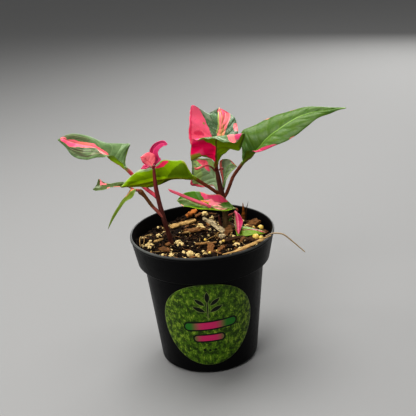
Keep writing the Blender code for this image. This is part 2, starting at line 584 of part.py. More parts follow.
def build_mix():
    """The potting mix: it fills the pot, with grains and bark fused to its rough top."""
    top_radius = inner_radius(MIX_LEVEL) - MIX_GAP
    angles = np.linspace(0, 2 * math.pi, MIX_SIDES, endpoint=False)
    points = [(0, 0, mix_height(0, 0))]
    for ring in range(1, MIX_RINGS + 1):
        radius = top_radius * ring / MIX_RINGS
        for a in angles + (ring % 2) * math.pi / MIX_SIDES:
            x, y = radius * math.cos(a), radius * math.sin(a)
            z = mix_height(x, y)
            fit = (inner_radius(z) - MIX_GAP) / top_radius
            points.append((x * fit, y * fit, z))
    band_foot = POT_HEIGHT - BAND_HEIGHT
    shoulder_gap = WALL + GAP + 0.0003
    lower = [(inner_radius(band_foot + 0.0040) - GAP - 0.0006, band_foot + 0.0040),
             (inner_radius(band_foot - 0.001) - GAP - 0.0006, band_foot + shoulder_gap + 0.0012),
             (inner_radius(band_foot - 0.001) - GAP - 0.0006, band_foot - 0.001),
             (inner_radius(0.006) - GAP - 0.0006, 0.006),
             (inner_radius(0.006) - 0.004, FLOOR_THICKNESS + GAP)]
    turn_back = (MIX_RINGS % 2) * math.pi / MIX_SIDES
    for radius, height in lower:
        points += [(radius * math.cos(a), radius * math.sin(a), height) for a in angles + turn_back]
    points.append((0, 0, FLOOR_THICKNESS + GAP))
    faces = [(0, 1 + k, 1 + (k + 1) % MIX_SIDES) for k in range(MIX_SIDES)]
    rings = MIX_RINGS + len(lower)
    for ring in range(rings - 1):
        shift = ring + 1 < MIX_RINGS
        odd = (ring + 1) % 2
        for k in range(MIX_SIDES):
            n = (k + 1) % MIX_SIDES
            low, high = 1 + ring * MIX_SIDES, 1 + (ring + 1) * MIX_SIDES
            if shift and odd:
                faces += [(low + k, high + k, low + n), (low + n, high + k, high + n)]
            elif shift:
                faces += [(low + k, high + k, high + n), (low + k, high + n, low + n)]
            else:
                faces.append((low + k, high + k, high + n, low + n))
    last = 1 + (rings - 1) * MIX_SIDES
    faces += [(last + (k + 1) % MIX_SIDES, last + k, len(points) - 1) for k in range(MIX_SIDES)]
    mix = new_object("potting_mix", points, faces, "mix", 0.95)
    rng = random.Random(MIX_SEED)
    grains = [lump(x * MM, y * MM, r * MM, rng) for x, y, r in LUMPS]
    grains += [chip(x * MM, y * MM, a * MM, b * MM, turn, lift) for x, y, a, b, turn, lift in CHIPS]
    for foot, tip, radius in SLIVERS:
        route = [np.array(foot, float), (np.array(foot) + np.array(tip)) / 2 + (0.6, 0, 0), np.array(tip, float)]
        grains.append(tube("sliver", route, [radius, radius * 0.7, radius * 0.15], "bark", 5))
    placed = 0
    while placed < SMALL_LUMPS:
        reach = top_radius * math.sqrt(rng.uniform(0.02, 0.86))
        turn = rng.uniform(0, 2 * math.pi)
        x, y = reach * math.cos(turn), reach * math.sin(turn)
        near = [math.hypot(x / MM - q[0], y / MM - q[1]) for q in LUMPS]
        if min(near) > 5 and all(math.hypot(x / MM - s["route"][1][0], y / MM - s["route"][1][1]) > 5
                                 for s in STEMS.values()):
            grains.append(lump(x, y, rng.uniform(1.0, 1.6) * MM, rng))
            placed += 1
    union_all(mix, grains)
    holes = []
    for name, stem in STEMS.items():
        route = [np.array(p, float) for p in stem["route"][:3]]
        step = (route[1] - route[0]) / np.linalg.norm(route[1] - route[0])
        route[0] = route[0] - step * HOLE_CLEARANCE
        radii = [r + HOLE_CLEARANCE for r in stem["radii"][:3]]
        holes.append(tube(name + " hole", route, radii, "mix", 16))
    group = bpy.data.collections.new("stem holes")
    for hole in holes:
        bpy.context.scene.collection.objects.unlink(hole)
        group.objects.link(hole)
    cut_or_join(mix, "DIFFERENCE", collection=group)
    for hole in holes:
        bpy.data.objects.remove(hole, do_unlink=True)
    bpy.data.collections.remove(group)
    return mix


def smooth_curve(points, places):
    """A smooth curve through the points (Catmull-Rom), read at places from 0 to the last index."""
    p = np.array(points, float)
    last = len(p) - 1
    p = np.concatenate([2 * p[:1] - p[1:2], p, 2 * p[-1:] - p[-2:-1]])
    k = np.clip(np.floor(places).astype(int), 0, last - 1)
    t = (places - k).reshape((-1,) + (1,) * (p.ndim - 1))
    a, b, c, d = p[k], p[k + 1], p[k + 2], p[k + 3]
    return 0.5 * (2 * b + (c - a) * t + (2 * a - 5 * b + 4 * c - d) * t**2
                  + (3 * b - a - 3 * c + d) * t**3)


def unit(v):
    """The vectors, one long."""
    return v / np.maximum(np.linalg.norm(v, axis=-1, keepdims=True), 1e-9)


def loft(name, rings, look, roughness=0.5):
    """A closed solid through rings of points, in millimetres, with a flat cap at each end."""
    count, sides = len(rings), len(rings[0])
    points = np.concatenate(rings) * MM
    faces = []
    for k in range(count - 1):
        low, high = k * sides, (k + 1) * sides
        for c in range(sides):
            n = (c + 1) % sides
            faces.append((low + c, low + n, high + n, high + c))
    faces.append(tuple(range(sides))[::-1])
    faces.append(tuple((count - 1) * sides + c for c in range(sides)))
    return new_object(name, points, faces, look, roughness)


def tube(name, route, radii, look, sides=10, steps=3):
    """A round stem through the route's points, with a radius at each."""
    places = np.linspace(0, len(route) - 1, (len(route) - 1) * steps + 1)
    line = smooth_curve(route, places)
    radius = np.interp(places, range(len(radii)), radii)
    ahead = unit(np.gradient(line, axis=0))
    side = unit(np.cross(ahead, (0.1, 1, 0.05)))
    up = np.cross(side, ahead)
    turns = np.linspace(0, 2 * math.pi, sides, endpoint=False)
    rings = [p + r * (np.cos(turns)[:, None] * s + np.sin(turns)[:, None] * u)
             for p, r, s, u in zip(line, radius, side, up)]
    return loft(name, rings, look, 0.55)


def leaf_sheet(leaf):
    """The leaf's middle sheet: points by station and share, from the stalk's foot to the tip."""
    rows = np.array([[(0, 0, 0), row[0], (0, 0, 0)] if len(row) == 1 else [row[1], row[0], row[2]]
                     for row in leaf["rows"]], float)
    places = np.linspace(0, len(rows) - 1, (len(rows) - 1) * STEPS_PER_ROW + 1)
    rail = smooth_curve(rows, places)
    left, rib, right = rail[:, 0], rail[:, 1], rail[:, 2]
    ahead = unit(np.gradient(rib, axis=0))
    face = np.cross(right - left, ahead)
    face[0], face[-1] = face[1], face[-2]
    face = unit(face)
    along = places / places[-1]
    share = np.array(BLADE_SHARES)[None, :, None]
    margin = np.where(share < 0, left[:, None], right[:, None])
    reach = np.linalg.norm(margin, axis=2, keepdims=True)
    open_part = np.clip(reach / (0.3 * reach.max()), 0, 1)
    bulge = np.where(share < 0, leaf["bulge"][0], leaf["bulge"][1])
    waves, count = leaf["ripple"]
    lift = bulge * 4 * abs(share) * (1 - abs(share))
    lift = lift + waves * abs(share)**1.5 * np.sin(2 * math.pi * count * along[:, None, None]
                                                   + np.where(share < 0, 0.6, 2.4))
    blade = rib[:, None] + margin * abs(share) + face[:, None] * lift * open_part
    return blade, rib, ahead, face, reach


def build_leaf(name, leaf, clear_of):
    """One leaf with its stalk: a thin blade that runs out of a round stalk."""
    blade, rib, ahead, face, reach = leaf_sheet(leaf)
    shares = np.array(BLADE_SHARES)
    stalk_radius = leaf["stalk_radius"]
    foot = leaf["stalk"] + [leaf["rows"][0][0]]
    dense = smooth_curve(foot, np.linspace(0, len(foot) - 1, 40 * len(foot)))
    run = np.concatenate([[0], np.cumsum(np.linalg.norm(np.diff(dense, axis=0), axis=1))])
    start = run[clear_start(dense, stalk_radius, clear_of)]
    count = max(2, int(round((run[-1] - start) / STALK_STEP)) + 1)
    at = np.linspace(start, run[-1], count)[:-1]
    stalk = np.stack([np.interp(at, run, dense[:, k]) for k in range(3)], axis=1)
    stalk_ahead = unit(np.stack([np.interp(at + 0.4, run, dense[:, k]) - np.interp(at - 0.4, run, dense[:, k])
                                 for k in range(3)], axis=1))
    turn = unit(face[0] - stalk_ahead * (stalk_ahead @ face[0])[:, None])
    across = np.cross(stalk_ahead, turn)
    rings = []
    edge = np.sqrt(1 - 0.8 * shares**2)
    for p, s, u in zip(stalk, across, turn):
        middle = p + stalk_radius * shares[:, None] * s
        lift = stalk_radius * edge[:, None] * u
        rings.append(np.concatenate([middle + lift, (middle - lift)[::-1]]))
    down = np.gradient(blade, axis=0)
    over = np.gradient(blade, axis=1)
    normal = np.cross(over, down)
    bad = np.linalg.norm(normal, axis=2) < 1e-4
    normal[bad] = np.repeat(face[:, None], len(shares), axis=1)[bad]
    normal = unit(normal)
    along = np.linspace(0, 1, len(rib))
    rib_radius = stalk_radius * (1 - 0.72 * along)
    side = np.cross(ahead, face)
    for k in range(len(rib)):
        widest = np.where(shares < 0, reach[k, 0, 0], reach[k, -1, 0])
        open_part = np.clip(widest / (2.5 * rib_radius[k]), 0, 1)
        open_part = open_part * open_part * (3 - 2 * open_part)
        middle = blade[k] + side[k] * (shares * rib_radius[k] * (1 - open_part))[:, None]
        upward = unit(normal[k] * open_part[:, None] + face[k] * (1 - open_part)[:, None])
        round_part = rib_radius[k] * edge * (1 - open_part)
        rib_part = rib_radius[k] * 0.9 * np.exp(-(shares * widest / 1.3)**2) * open_part
        top = BLADE_THICKNESS / 2 * open_part + round_part
        under = top + rib_part
        rings.append(np.concatenate([middle + upward * top[:, None],
                                     (middle - upward * under[:, None])[::-1]]))
    return loft(name, rings, "pink leaf" if name in PINK_LEAVES else "leaf", 0.4)


def clear_start(dense, radius, clear_of):
    """The first place on the stalk where its end clears the stem that holds it."""
    reach = np.interp(np.linspace(0, 1, 200), np.linspace(0, 1, len(clear_of["radii"])), clear_of["radii"])
    places = np.linspace(0, len(clear_of["route"]) - 1, 200)
    line = smooth_curve(clear_of["route"], places)
    ahead = unit(np.gradient(dense, axis=0))
    turns = np.linspace(0, 2 * math.pi, 12, endpoint=False)
    for k in range(len(dense)):
        side = unit(np.cross(ahead[k], (0.3, 0.2, 1.0)))
        up = np.cross(side, ahead[k])
        ring = dense[k] + radius * (np.cos(turns)[:, None] * side + np.sin(turns)[:, None] * up)
        ring = np.concatenate([ring, dense[k:k + 1]])
        away = np.linalg.norm(ring[:, None] - line[None], axis=2) - reach[None]
        if away.min() > GAP / MM:
            return k
    return 0


def build_stems():
    """The stems, the left one with its side shoot."""
    made = {name: tube(name, stem["route"], stem["radii"], "stem") for name, stem in STEMS.items()}
    shoot = tube("side shoot", SIDE_SHOOT["route"], SIDE_SHOOT["radii"], "stem")
    ball = bmesh.new()
    bmesh.ops.create_icosphere(ball, subdivisions=2, radius=SHOOT_KNOB[1] * MM)
    mesh = bpy.data.meshes.new("knob")
    ball.to_mesh(mesh)
    ball.free()
    mesh.transform(Matrix.Translation(Vector(SHOOT_KNOB[0]) * MM))
    knob = bpy.data.objects.new("knob", mesh)
    bpy.context.scene.collection.objects.link(knob)
    union_all(made["stem_left"], [shoot, knob])
    return made


def build_strip():
    """A strip of bark that lies across the lip at the right front."""
    places = np.linspace(0, len(STRIP["route"]) - 1, 9)
    line = smooth_curve(STRIP["route"], places)
    ahead = unit(np.gradient(line, axis=0))
    side = unit(np.cross(ahead, (0, 0, 1)))
    up = np.cross(side, ahead)
    thick = STRIP["thickness"] / 2
    rings = []
    for k, p in enumerate(line):
        share = k / (len(line) - 1)
        half = STRIP["width"] / 2 * (0.35 + 2.2 * share * (1 - share) + 0.1 * math.sin(9 * share))
        rings.append(np.array([p - side[k] * half - up[k] * thick * 0.6, p + side[k] * half - up[k] * thick * 0.6,
                               p + side[k] * half * 0.7 + up[k] * thick, p - side[k] * half * 0.7 + up[k] * thick]))
    return loft("bark_strip", rings, "bark", 0.8)


def build():
    """Make every piece of the plant and its pot."""
    clear_scene()
    build_pot()
    build_label()
    build_mix()
    build_stems()
    held = dict(STEMS, side_shoot={"route": [SIDE_SHOOT["route"][0], SHOOT_KNOB[0]],
                                   "radii": [1.2, SHOOT_KNOB[1]]})
    for name, leaf in LEAVES.items():
        build_leaf(name, leaf, held[leaf["held_by"]])
    for name, leaflet in LEAFLETS.items():
        tube(name, leaflet["route"], leaflet["radii"], "pink leaf" if name in PINK_LEAVES else "leaf", 8, 2)
    build_strip()
    tube("dry_root", ROOT["route"], ROOT["radii"], "bark", 6)


build()
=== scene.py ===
import math
import random

import bpy
import numpy as np
from mathutils import Matrix, Vector


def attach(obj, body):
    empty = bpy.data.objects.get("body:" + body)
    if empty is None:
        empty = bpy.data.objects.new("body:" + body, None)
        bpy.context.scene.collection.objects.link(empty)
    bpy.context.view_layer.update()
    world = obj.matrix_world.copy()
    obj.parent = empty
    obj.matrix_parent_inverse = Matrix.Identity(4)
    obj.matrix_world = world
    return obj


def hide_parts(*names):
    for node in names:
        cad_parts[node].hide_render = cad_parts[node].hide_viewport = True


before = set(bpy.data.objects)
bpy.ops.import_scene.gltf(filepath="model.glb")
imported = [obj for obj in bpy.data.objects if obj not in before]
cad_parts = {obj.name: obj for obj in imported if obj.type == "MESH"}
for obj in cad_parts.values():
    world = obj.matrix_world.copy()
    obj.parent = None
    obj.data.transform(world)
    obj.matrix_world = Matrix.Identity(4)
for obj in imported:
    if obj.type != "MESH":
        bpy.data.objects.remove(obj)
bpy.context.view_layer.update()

mm = 0.001


# helpers for curves, grids and meshes

def smoothCurve(points, places):
    # Catmull-Rom curve through the points, read at places counted in points from the first one
    p = np.array(points, float)
    last = len(p) - 1
    p = np.concatenate([2 * p[:1] - p[1:2], p, 2 * p[-1:] - p[-2:-1]])
    k = np.clip(np.floor(places).astype(int), 0, last - 1)
    t = (places - k).reshape((-1,) + (1,) * (p.ndim - 1))
    a, b, c, d = p[k], p[k + 1], p[k + 2], p[k + 3]
    return 0.5 * (2 * b + (c - a) * t + (2 * a - 5 * b + 4 * c - d) * t**2
                  + (3 * b - a - 3 * c + d) * t**3)


def unit(v):
    # each vector divided by its own length
    return v / np.maximum(np.linalg.norm(v, axis=-1, keepdims=True), 1e-9)


def smooth(x):
    # eased step from 0 to 1
    x = np.clip(x, 0, 1)
    return x * x * (3 - 2 * x)


def fullTurn(count):
    # evenly spaced angles round a circle
    return np.linspace(0, 2 * math.pi, count, endpoint=False)


def waves(points, scale, seed, octaves=3):
    # smooth made-up relief: the sum of sines along fixed random directions, five to an octave, each octave
    # twice as fine and half as high
    draw = np.random.default_rng(seed)
    total = np.zeros(points.shape[:-1])
    for octave in range(octaves):
        for _ in range(5):
            way = draw.normal(size=3)
            way *= 2**octave / scale / np.linalg.norm(way) * draw.uniform(0.7, 1.3)
            total += np.sin(points @ way * 2 * math.pi + draw.uniform(0, 6.28)) * 0.45 / 2**octave
    return total


def tubeFaces(rings, around):
    # quads between each ring of points and the next, closed round, then one many-sided face over each end
    ring, here = np.arange(rings - 1)[:, None] * around, np.arange(around)[None]
    beside = (here + 1) % around
    quads = np.stack([ring + here, ring + beside, ring + around + beside, ring + around + here], -1)
    ends = [list(range(around))[::-1], [(rings - 1) * around + k for k in range(around)]]
    return quads.reshape(-1, 4).tolist() + ends


def gather(name, shapes):
    # closed shapes, each with its points in mm and its faces first, in one mesh
    first = np.cumsum([0] + [len(shape[0]) for shape in shapes[:-1]]).tolist()
    faces = [[k + low for k in face] for low, shape in zip(first, shapes) for face in shape[1]]
    mesh = bpy.data.meshes.new(name)
    mesh.from_pydata((np.concatenate([shape[0] for shape in shapes]) * mm).tolist(), [], faces)
    return mesh


def setField(mesh, name, values):
    # one number at every point, which a finish reads by its name
    layer = mesh.attributes.new(name, "FLOAT", "POINT")
    layer.data.foreach_set("value", np.asarray(values, np.float32).ravel())


def shadeSmooth(mesh):
    mesh.polygons.foreach_set("use_smooth", [True] * len(mesh.polygons))


def addObject(name, data):
    made = bpy.data.objects.new(name, data)
    bpy.context.scene.collection.objects.link(made)
    return made


def skin(name, grid, finish, fields=None, uv=None):
    # a grid of points [ring, place in ring, xyz] in mm becomes one closed skin
    rings, around = grid.shape[:2]
    mesh = gather(name, [(grid.reshape(-1, 3), tubeFaces(rings, around))])
    for key, values in (fields or {}).items():
        setField(mesh, key, np.broadcast_to(values, (rings, around)))
    if uv is not None:
        corner = np.zeros(len(mesh.loops), int)
        mesh.loops.foreach_get("vertex_index", corner)
        layer = mesh.uv_layers.new(name="UVMap")
        layer.data.foreach_set("uv", uv.reshape(-1, 2)[corner].astype(np.float32).ravel())
    shadeSmooth(mesh)
    mesh.update()
    mesh.materials.append(finish)
    return addObject(name, mesh)


def wear(piece, slot, *nodes):
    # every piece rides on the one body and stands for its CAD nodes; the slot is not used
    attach(piece, "root")
    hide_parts(*nodes)


class Bench:
    # one material, and short-hands for the nodes that its finish is put together from
    def __init__(self, name):
        self.material = bpy.data.materials.new(name)
        self.material.use_nodes = True
        self.tree = self.material.node_tree
        self.shader = self.tree.nodes["Principled BSDF"]
        self.object = self.put("ShaderNodeTexCoord").outputs["Object"]

    def put(self, kind, inputs=None, **settings):
        node = self.tree.nodes.new(kind)
        for key, value in settings.items():
            setattr(node, key, value)
        for key, value in (inputs or {}).items():
            self.feed(node.inputs[key], value)
        return node

    def feed(self, socket, value):
        if isinstance(value, bpy.types.NodeSocket):
            self.tree.links.new(value, socket)
        elif isinstance(value, tuple) and len(value) == 3 and socket.type == "RGBA":
            socket.default_value = value + (1,)
        else:
            socket.default_value = value

    def math(self, operation, a, b=0.0):
        return self.put("ShaderNodeMath", {0: a, 1: b}, operation=operation).outputs[0]

    def times(self, a, b):
        return self.math("MULTIPLY", a, b)

    def plus(self, a, b):
        return self.math("ADD", a, b)

    def minus(self, a, b):
        return self.math("SUBTRACT", a, b)

    def fade(self, value, low, high, start=0.0, end=1.0):
        # value from low to high becomes start to end, eased
        node = self.put("ShaderNodeMapRange", {0: value, 1: low, 2: high, 3: start, 4: end},
                        interpolation_type="SMOOTHSTEP")
        return node.outputs[0]

    def blend(self, amount, first, second):
        return self.put("ShaderNodeMix", {0: amount, 6: first, 7: second}, data_type="RGBA").outputs[2]

    def wash(self, colour, paint, value, low, high, start=0.0, end=1.0):
        # the paint is laid over the colour as the value goes from low to high
        return self.blend(self.fade(value, low, high, start, end), colour, paint)

    def grain(self, scale, detail=3.0, roughness=0.55, stretch=None, where=None):
        # noise on the object's own coordinates, or on those given
        where = self.object if where is None else where
        if stretch:
            where = self.put("ShaderNodeMapping", {"Vector": where, "Scale": stretch}).outputs[0]
        return self.put("ShaderNodeTexNoise", {"Vector": where, "Scale": scale, "Detail": detail,
                                               "Roughness": roughness}).outputs["Fac"]

    def field(self, name):
        return self.put("ShaderNodeAttribute", attribute_name=name).outputs["Fac"]

    def place(self, axis):
        # x, y or z of a point, in metres
        return self.put("ShaderNodeSeparateXYZ", {0: self.object}).outputs[axis]

    def flat(self):
        # the piece's own UV map, then its two numbers apart
        where = self.put("ShaderNodeUVMap", uv_map="UVMap").outputs[0]
        part = self.put("ShaderNodeSeparateXYZ", {0: where})
        return where, part.outputs[0], part.outputs[1]

    def bump(self, height, distance, strength=1.0, under=None):
        inputs = {"Height": height, "Distance": distance, "Strength": strength}
        if under is not None:
            inputs["Normal"] = under
        return self.put("ShaderNodeBump", inputs).outputs[0]

    def close(self, colour, roughness, normal=None, gloss=0.5):
        self.feed(self.shader.inputs["Base Color"], colour)
        self.feed(self.shader.inputs["Roughness"], roughness)
        if normal is not None:
            self.feed(self.shader.inputs["Normal"], normal)
        self.shader.inputs["Specular IOR Level"].default_value = gloss
        return self.material


# camera, floor and light; places and sizes in metres

studio = {
    "cameraPlace": (0.0, -0.5145, 0.3041), "yaw": 0.0100, "pitch": 0.3610, "roll": -0.0660,
    "focalPixels": 800.0, "framePixels": 416.0, "sensor": 36.0, "clipStart": 0.01,
    "floorHalf": 6.0, "floorDrop": 0.0002, "floorColour": (0.20, 0.198, 0.193), "floorRoughness": 0.85,
    "skyColour": (0.98, 0.99, 1.0), "skyStrength": 0.3,
    "view": "Standard", "contrast": "Medium High Contrast",
    # place, point it looks at, width and power of each lamp
    "lamps": {
        "overhead": ((-0.15, 0.2, 0.95), (0, 0, 0.1), 0.8, 13.0),
        "frontFill": ((-0.45, -0.75, 0.75), (0, 0, 0.12), 0.6, 8.0),
        "backWindow": ((0.5, 1.1, 0.6), (0, 0, 0.14), 0.8, 9.0),
    },
}


def setCamera():
    # the camera looks along +Y, turned by yaw, tipped down by pitch, then rolled round its own line of sight
    yaw, pitch, roll = studio["yaw"], studio["pitch"], studio["roll"]
    ahead = Vector((math.sin(yaw) * math.cos(pitch), math.cos(yaw) * math.cos(pitch), -math.sin(pitch)))
    level = Vector((math.cos(yaw), -math.sin(yaw), 0))
    above = level.cross(ahead)
    right = math.cos(roll) * level + math.sin(roll) * above
    up = -math.sin(roll) * level + math.cos(roll) * above
    lens = bpy.data.cameras.new("camera")
    lens.sensor_width = studio["sensor"]
    lens.lens = studio["focalPixels"] / studio["framePixels"] * studio["sensor"]
    lens.clip_start = studio["clipStart"]
    camera = addObject("camera", lens)
    turn = Matrix((right, up, -ahead)).transposed().to_4x4()
    camera.matrix_world = Matrix.Translation(studio["cameraPlace"]) @ turn
    bpy.context.scene.camera = camera


def softLight(name, place, aim, size, power):
    lamp = bpy.data.lights.new(name, "AREA")
    lamp.shape = "DISK"
    lamp.size = size
    lamp.energy = power
    turn = (Vector(aim) - Vector(place)).to_track_quat("-Z", "Y").to_matrix().to_4x4()
    addObject(name, lamp).matrix_world = Matrix.Translation(place) @ turn


def setStage():
    half = studio["floorHalf"]
    mesh = bpy.data.meshes.new("floor")
    mesh.from_pydata([(-half, -half, 0), (half, -half, 0), (half, half, 0), (-half, half, 0)], [],
                     [(0, 1, 2, 3)])
    mesh.materials.append(Bench("paleFloor").close(studio["floorColour"], studio["floorRoughness"]))
    floor = addObject("floor", mesh)
    floor.location.z = -studio["floorDrop"]
    scene = bpy.context.scene
    scene.world = bpy.data.worlds.new("softRoom")
    scene.world.use_nodes = True
    sky = scene.world.node_tree.nodes["Background"]
    sky.inputs["Color"].default_value = studio["skyColour"] + (1,)
    sky.inputs["Strength"].default_value = studio["skyStrength"]
    scene.view_settings.view_transform = studio["view"]
    scene.view_settings.look = studio["contrast"]
    for name, settings in studio["lamps"].items():
        softLight(name, *settings)


setCamera()
setStage()
print("camera, floor and light are set")


# the pot; shape in mm, the heights and reaches of its finish in metres

pot = {
    "height": 95.0, "rim": 50.0, "bandHeight": 21.3, "bandFoot": 46.1, "shoulder": 41.9, "base": 34.6,
    "wall": 1.3, "floor": 1.6, "around": 240, "rounding": 0.35, "segment": 6.0, "wobble": 0.0012,
    "holes": 8, "holeRadius": 3.5, "holeRing": 24.0, "holeSides": 40,
    # the grey laid on the lip is a painted highlight
    "black": (0.0022, 0.0022, 0.0026), "dust": (0.022, 0.021, 0.019), "paintedLipHighlight": (0.11, 0.112, 0.105),
    "dustHeight": (0.0925, 0.0948), "lipHeight": (0.0930, 0.0942), "lipReach": (0.0487, 0.0493),
    "lipSides": (0.015, 0.042), "gloss": 0.09,
}


def potWall(height):
    # outside radius at each height: the tapered body below the shoulder, the rim band above it
    p = pot
    step = p["height"] - p["bandHeight"]
    body = p["base"] + (p["shoulder"] - p["base"]) * height / step
    upBand = (height - p["height"] + p["bandHeight"]) / p["bandHeight"]
    return np.where(height < step, body, p["bandFoot"] + (p["rim"] - p["bandFoot"]) * upBand)


def potCorners():
    # (radius, height) from the edge of the flat bottom, up the outside, over the lip and down to the floor
    p = pot
    step = p["height"] - p["bandHeight"]
    return np.array([
        (p["base"] - 1.6, 0.0), (p["base"], 1.6), (p["shoulder"], step - 0.2), (p["bandFoot"] - 1.0, step),
        (p["bandFoot"], step + 0.9), (p["rim"] - 0.55, p["height"] - 3.2), (p["rim"], p["height"] - 2.4),
        (p["rim"], p["height"] - 0.9), (p["rim"] - 0.55, p["height"]),
        (p["rim"] - p["wall"] - 0.1, p["height"] - 0.5), (p["bandFoot"] - p["wall"], step + 1.2),
        (p["shoulder"] - p["wall"], step - 1.0), (p["base"] - p["wall"], p["floor"] + 1.5),
        (p["base"] - p["wall"] - 1.4, p["floor"]),
    ])


def roundedProfile(p):
    # each corner is cut back a little on both sides and bridged by a few points of a parabola
    out = [p[:1]]
    for k in range(1, len(p) - 1):
        before, after = p[k - 1] - p[k], p[k + 1] - p[k]
        cut = min(pot["rounding"], 0.45 * np.linalg.norm(before), 0.45 * np.linalg.norm(after))
        a, b = p[k] + unit(before) * cut, p[k] + unit(after) * cut
        t = np.linspace(0, 1, 5)[:, None]
        out.append((1 - t)**2 * a + 2 * t * (1 - t) * p[k] + t**2 * b)
    out.append(p[-1:])
    return np.concatenate(out)


def densify(profile, step):
    # extra points on the long straight runs
    parts = []
    for a, b in zip(profile[:-1], profile[1:]):
        count = max(1, int(np.linalg.norm(b - a) / step))
        parts.append(a + (b - a) * np.linspace(0, 1, count, endpoint=False)[:, None])
    return np.concatenate(parts + [profile[-1:]])


def potFinish():
    # black plastic, dusty in clouds and along the lip, with a painted grey highlight on the lip, stronger on
    # its left and right sides
    bench = Bench("blackMouldedPlastic")
    cloud = bench.grain(38.0, 4)
    fine = bench.grain(420.0)
    scuff = bench.grain(150.0, 4, 0.7, (1, 1, 0.22))
    height = bench.place(2)
    fromAxis = bench.put("ShaderNodeVectorMath", {0: bench.object, 1: (1, 1, 0)}, operation="MULTIPLY")
    fromAxis = bench.put("ShaderNodeVectorMath", {0: fromAxis.outputs[0]}, operation="LENGTH").outputs[1]
    dusty = bench.times(bench.fade(cloud, 0.5, 0.72), bench.fade(scuff, 0.45, 0.75))
    nearLip = bench.fade(height, *pot["dustHeight"], 0.0, 0.35)
    amount = bench.math("MAXIMUM", bench.times(dusty, 0.35), bench.times(nearLip, scuff))
    colour = bench.blend(amount, pot["black"], pot["dust"])
    sideways = bench.math("ABSOLUTE", bench.place(0))
    # painted highlight: the top of the lip turns lighter grey, most at its left and right sides
    lipHighlight = bench.fade(fromAxis, *pot["lipReach"], 0.0, 0.85)
    lipHighlight = bench.times(bench.fade(height, *pot["lipHeight"]), lipHighlight)
    lipHighlight = bench.times(lipHighlight, bench.fade(sideways, *pot["lipSides"], 0.35, 1.0))
    colour = bench.blend(lipHighlight, colour, pot["paintedLipHighlight"])
    roughness = bench.fade(bench.plus(bench.times(scuff, 0.6), bench.times(fine, 0.4)), 0.3, 0.75, 0.33, 0.5)
    normal = bench.bump(cloud, 0.0009, 0.25, bench.bump(fine, 0.00012, 0.5))
    return bench.close(colour, roughness, normal, pot["gloss"])


def drainTubes():
    # round bars through the floor, evenly spaced on a ring: middle of the bar plus its own small circle
    small = fullTurn(pot["holeSides"])
    tubes = []
    for k in range(pot["holes"]):
        middle = 2 * math.pi * (k + 0.5) / pot["holes"]
        x = pot["holeRing"] * math.cos(middle) + pot["holeRadius"] * np.cos(small)
        y = pot["holeRing"] * math.sin(middle) + pot["holeRadius"] * np.sin(small)
        ends = [np.stack([x, y, z + 0 * x], -1) for z in (-1.0, pot["floor"] + 1.0)]
        tubes.append((np.concatenate(ends), tubeFaces(2, pot["holeSides"])))
    return tubes


def makePot():
    # the profile spun round the Z axis, with the drain holes cut through its bottom
    turns = fullTurn(pot["around"])
    profile = densify(roundedProfile(potCorners()), pot["segment"])
    radius, height = profile[:, :1], profile[:, 1:2]
    # the wobble makes it a little oval towards the top
    wobble = 1 + pot["wobble"] * np.sin(2 * turns + 0.7)[None] * smooth(height / pot["height"])
    grid = np.stack([radius * np.cos(turns) * wobble, radius * np.sin(turns) * wobble,
                     height + 0 * turns], -1)
    shell = skin("pot", grid, potFinish())
    cutter = addObject("drainHoles", gather("drainHoles", drainTubes()))
    cut = shell.modifiers.new("drain", "BOOLEAN")
    cut.object = cutter
    cut.solver = "EXACT"
    cutMesh = bpy.data.meshes.new_from_object(shell.evaluated_get(bpy.context.evaluated_depsgraph_get()))
    shell.modifiers.clear()
    shell.data = cutMesh
    bpy.data.objects.remove(cutter)
    shadeSmooth(cutMesh)
    wear(shell, "pot_plastic", "pot")


makePot()
print("the pot is made")


# the label: shape in mm, print in shares of its width from the lower left

label = {
    "radius": 32.5, "middle": 40.2, "lift": 0.3, "thickness": 0.3, "bevel": 0.12, "rings": 40, "around": 160,
    "slopeShare": 0.995,  # height gained on the tapered wall for each mm up the paper
    "deepGreen": (0.013, 0.032, 0.002), "leafGreen": (0.052, 0.115, 0.004), "lime": (0.20, 0.28, 0.030),
    "ink": (0.003, 0.005, 0.002), "edge": (0.16, 0.20, 0.06), "pink": (0.42, 0.02, 0.10),
    "plateGreen": (0.02, 0.13, 0.015), "gloss": 0.2, "grainRoughness": 0.65,
    # middle, half length, half height and slope of each blank bar
    "plates": [(0.52, 0.50, 0.27, 0.042, 0.07), (0.50, 0.345, 0.16, 0.036, 0.04)],
    # middle, half length, half width and turn of each leaf of the sprig, then of its stalk
    "sprig": [(0.5, 0.84, 0.062, 0.021, 90), (0.425, 0.785, 0.06, 0.019, 140),
              (0.575, 0.785, 0.06, 0.019, 40), (0.415, 0.70, 0.068, 0.021, 152),
              (0.585, 0.70, 0.068, 0.021, 28), (0.5, 0.71, 0.10, 0.0045, 90)],
    "dots": [(0.44, 0.195), (0.50, 0.19), (0.56, 0.195)], "dotSize": 0.012,
}


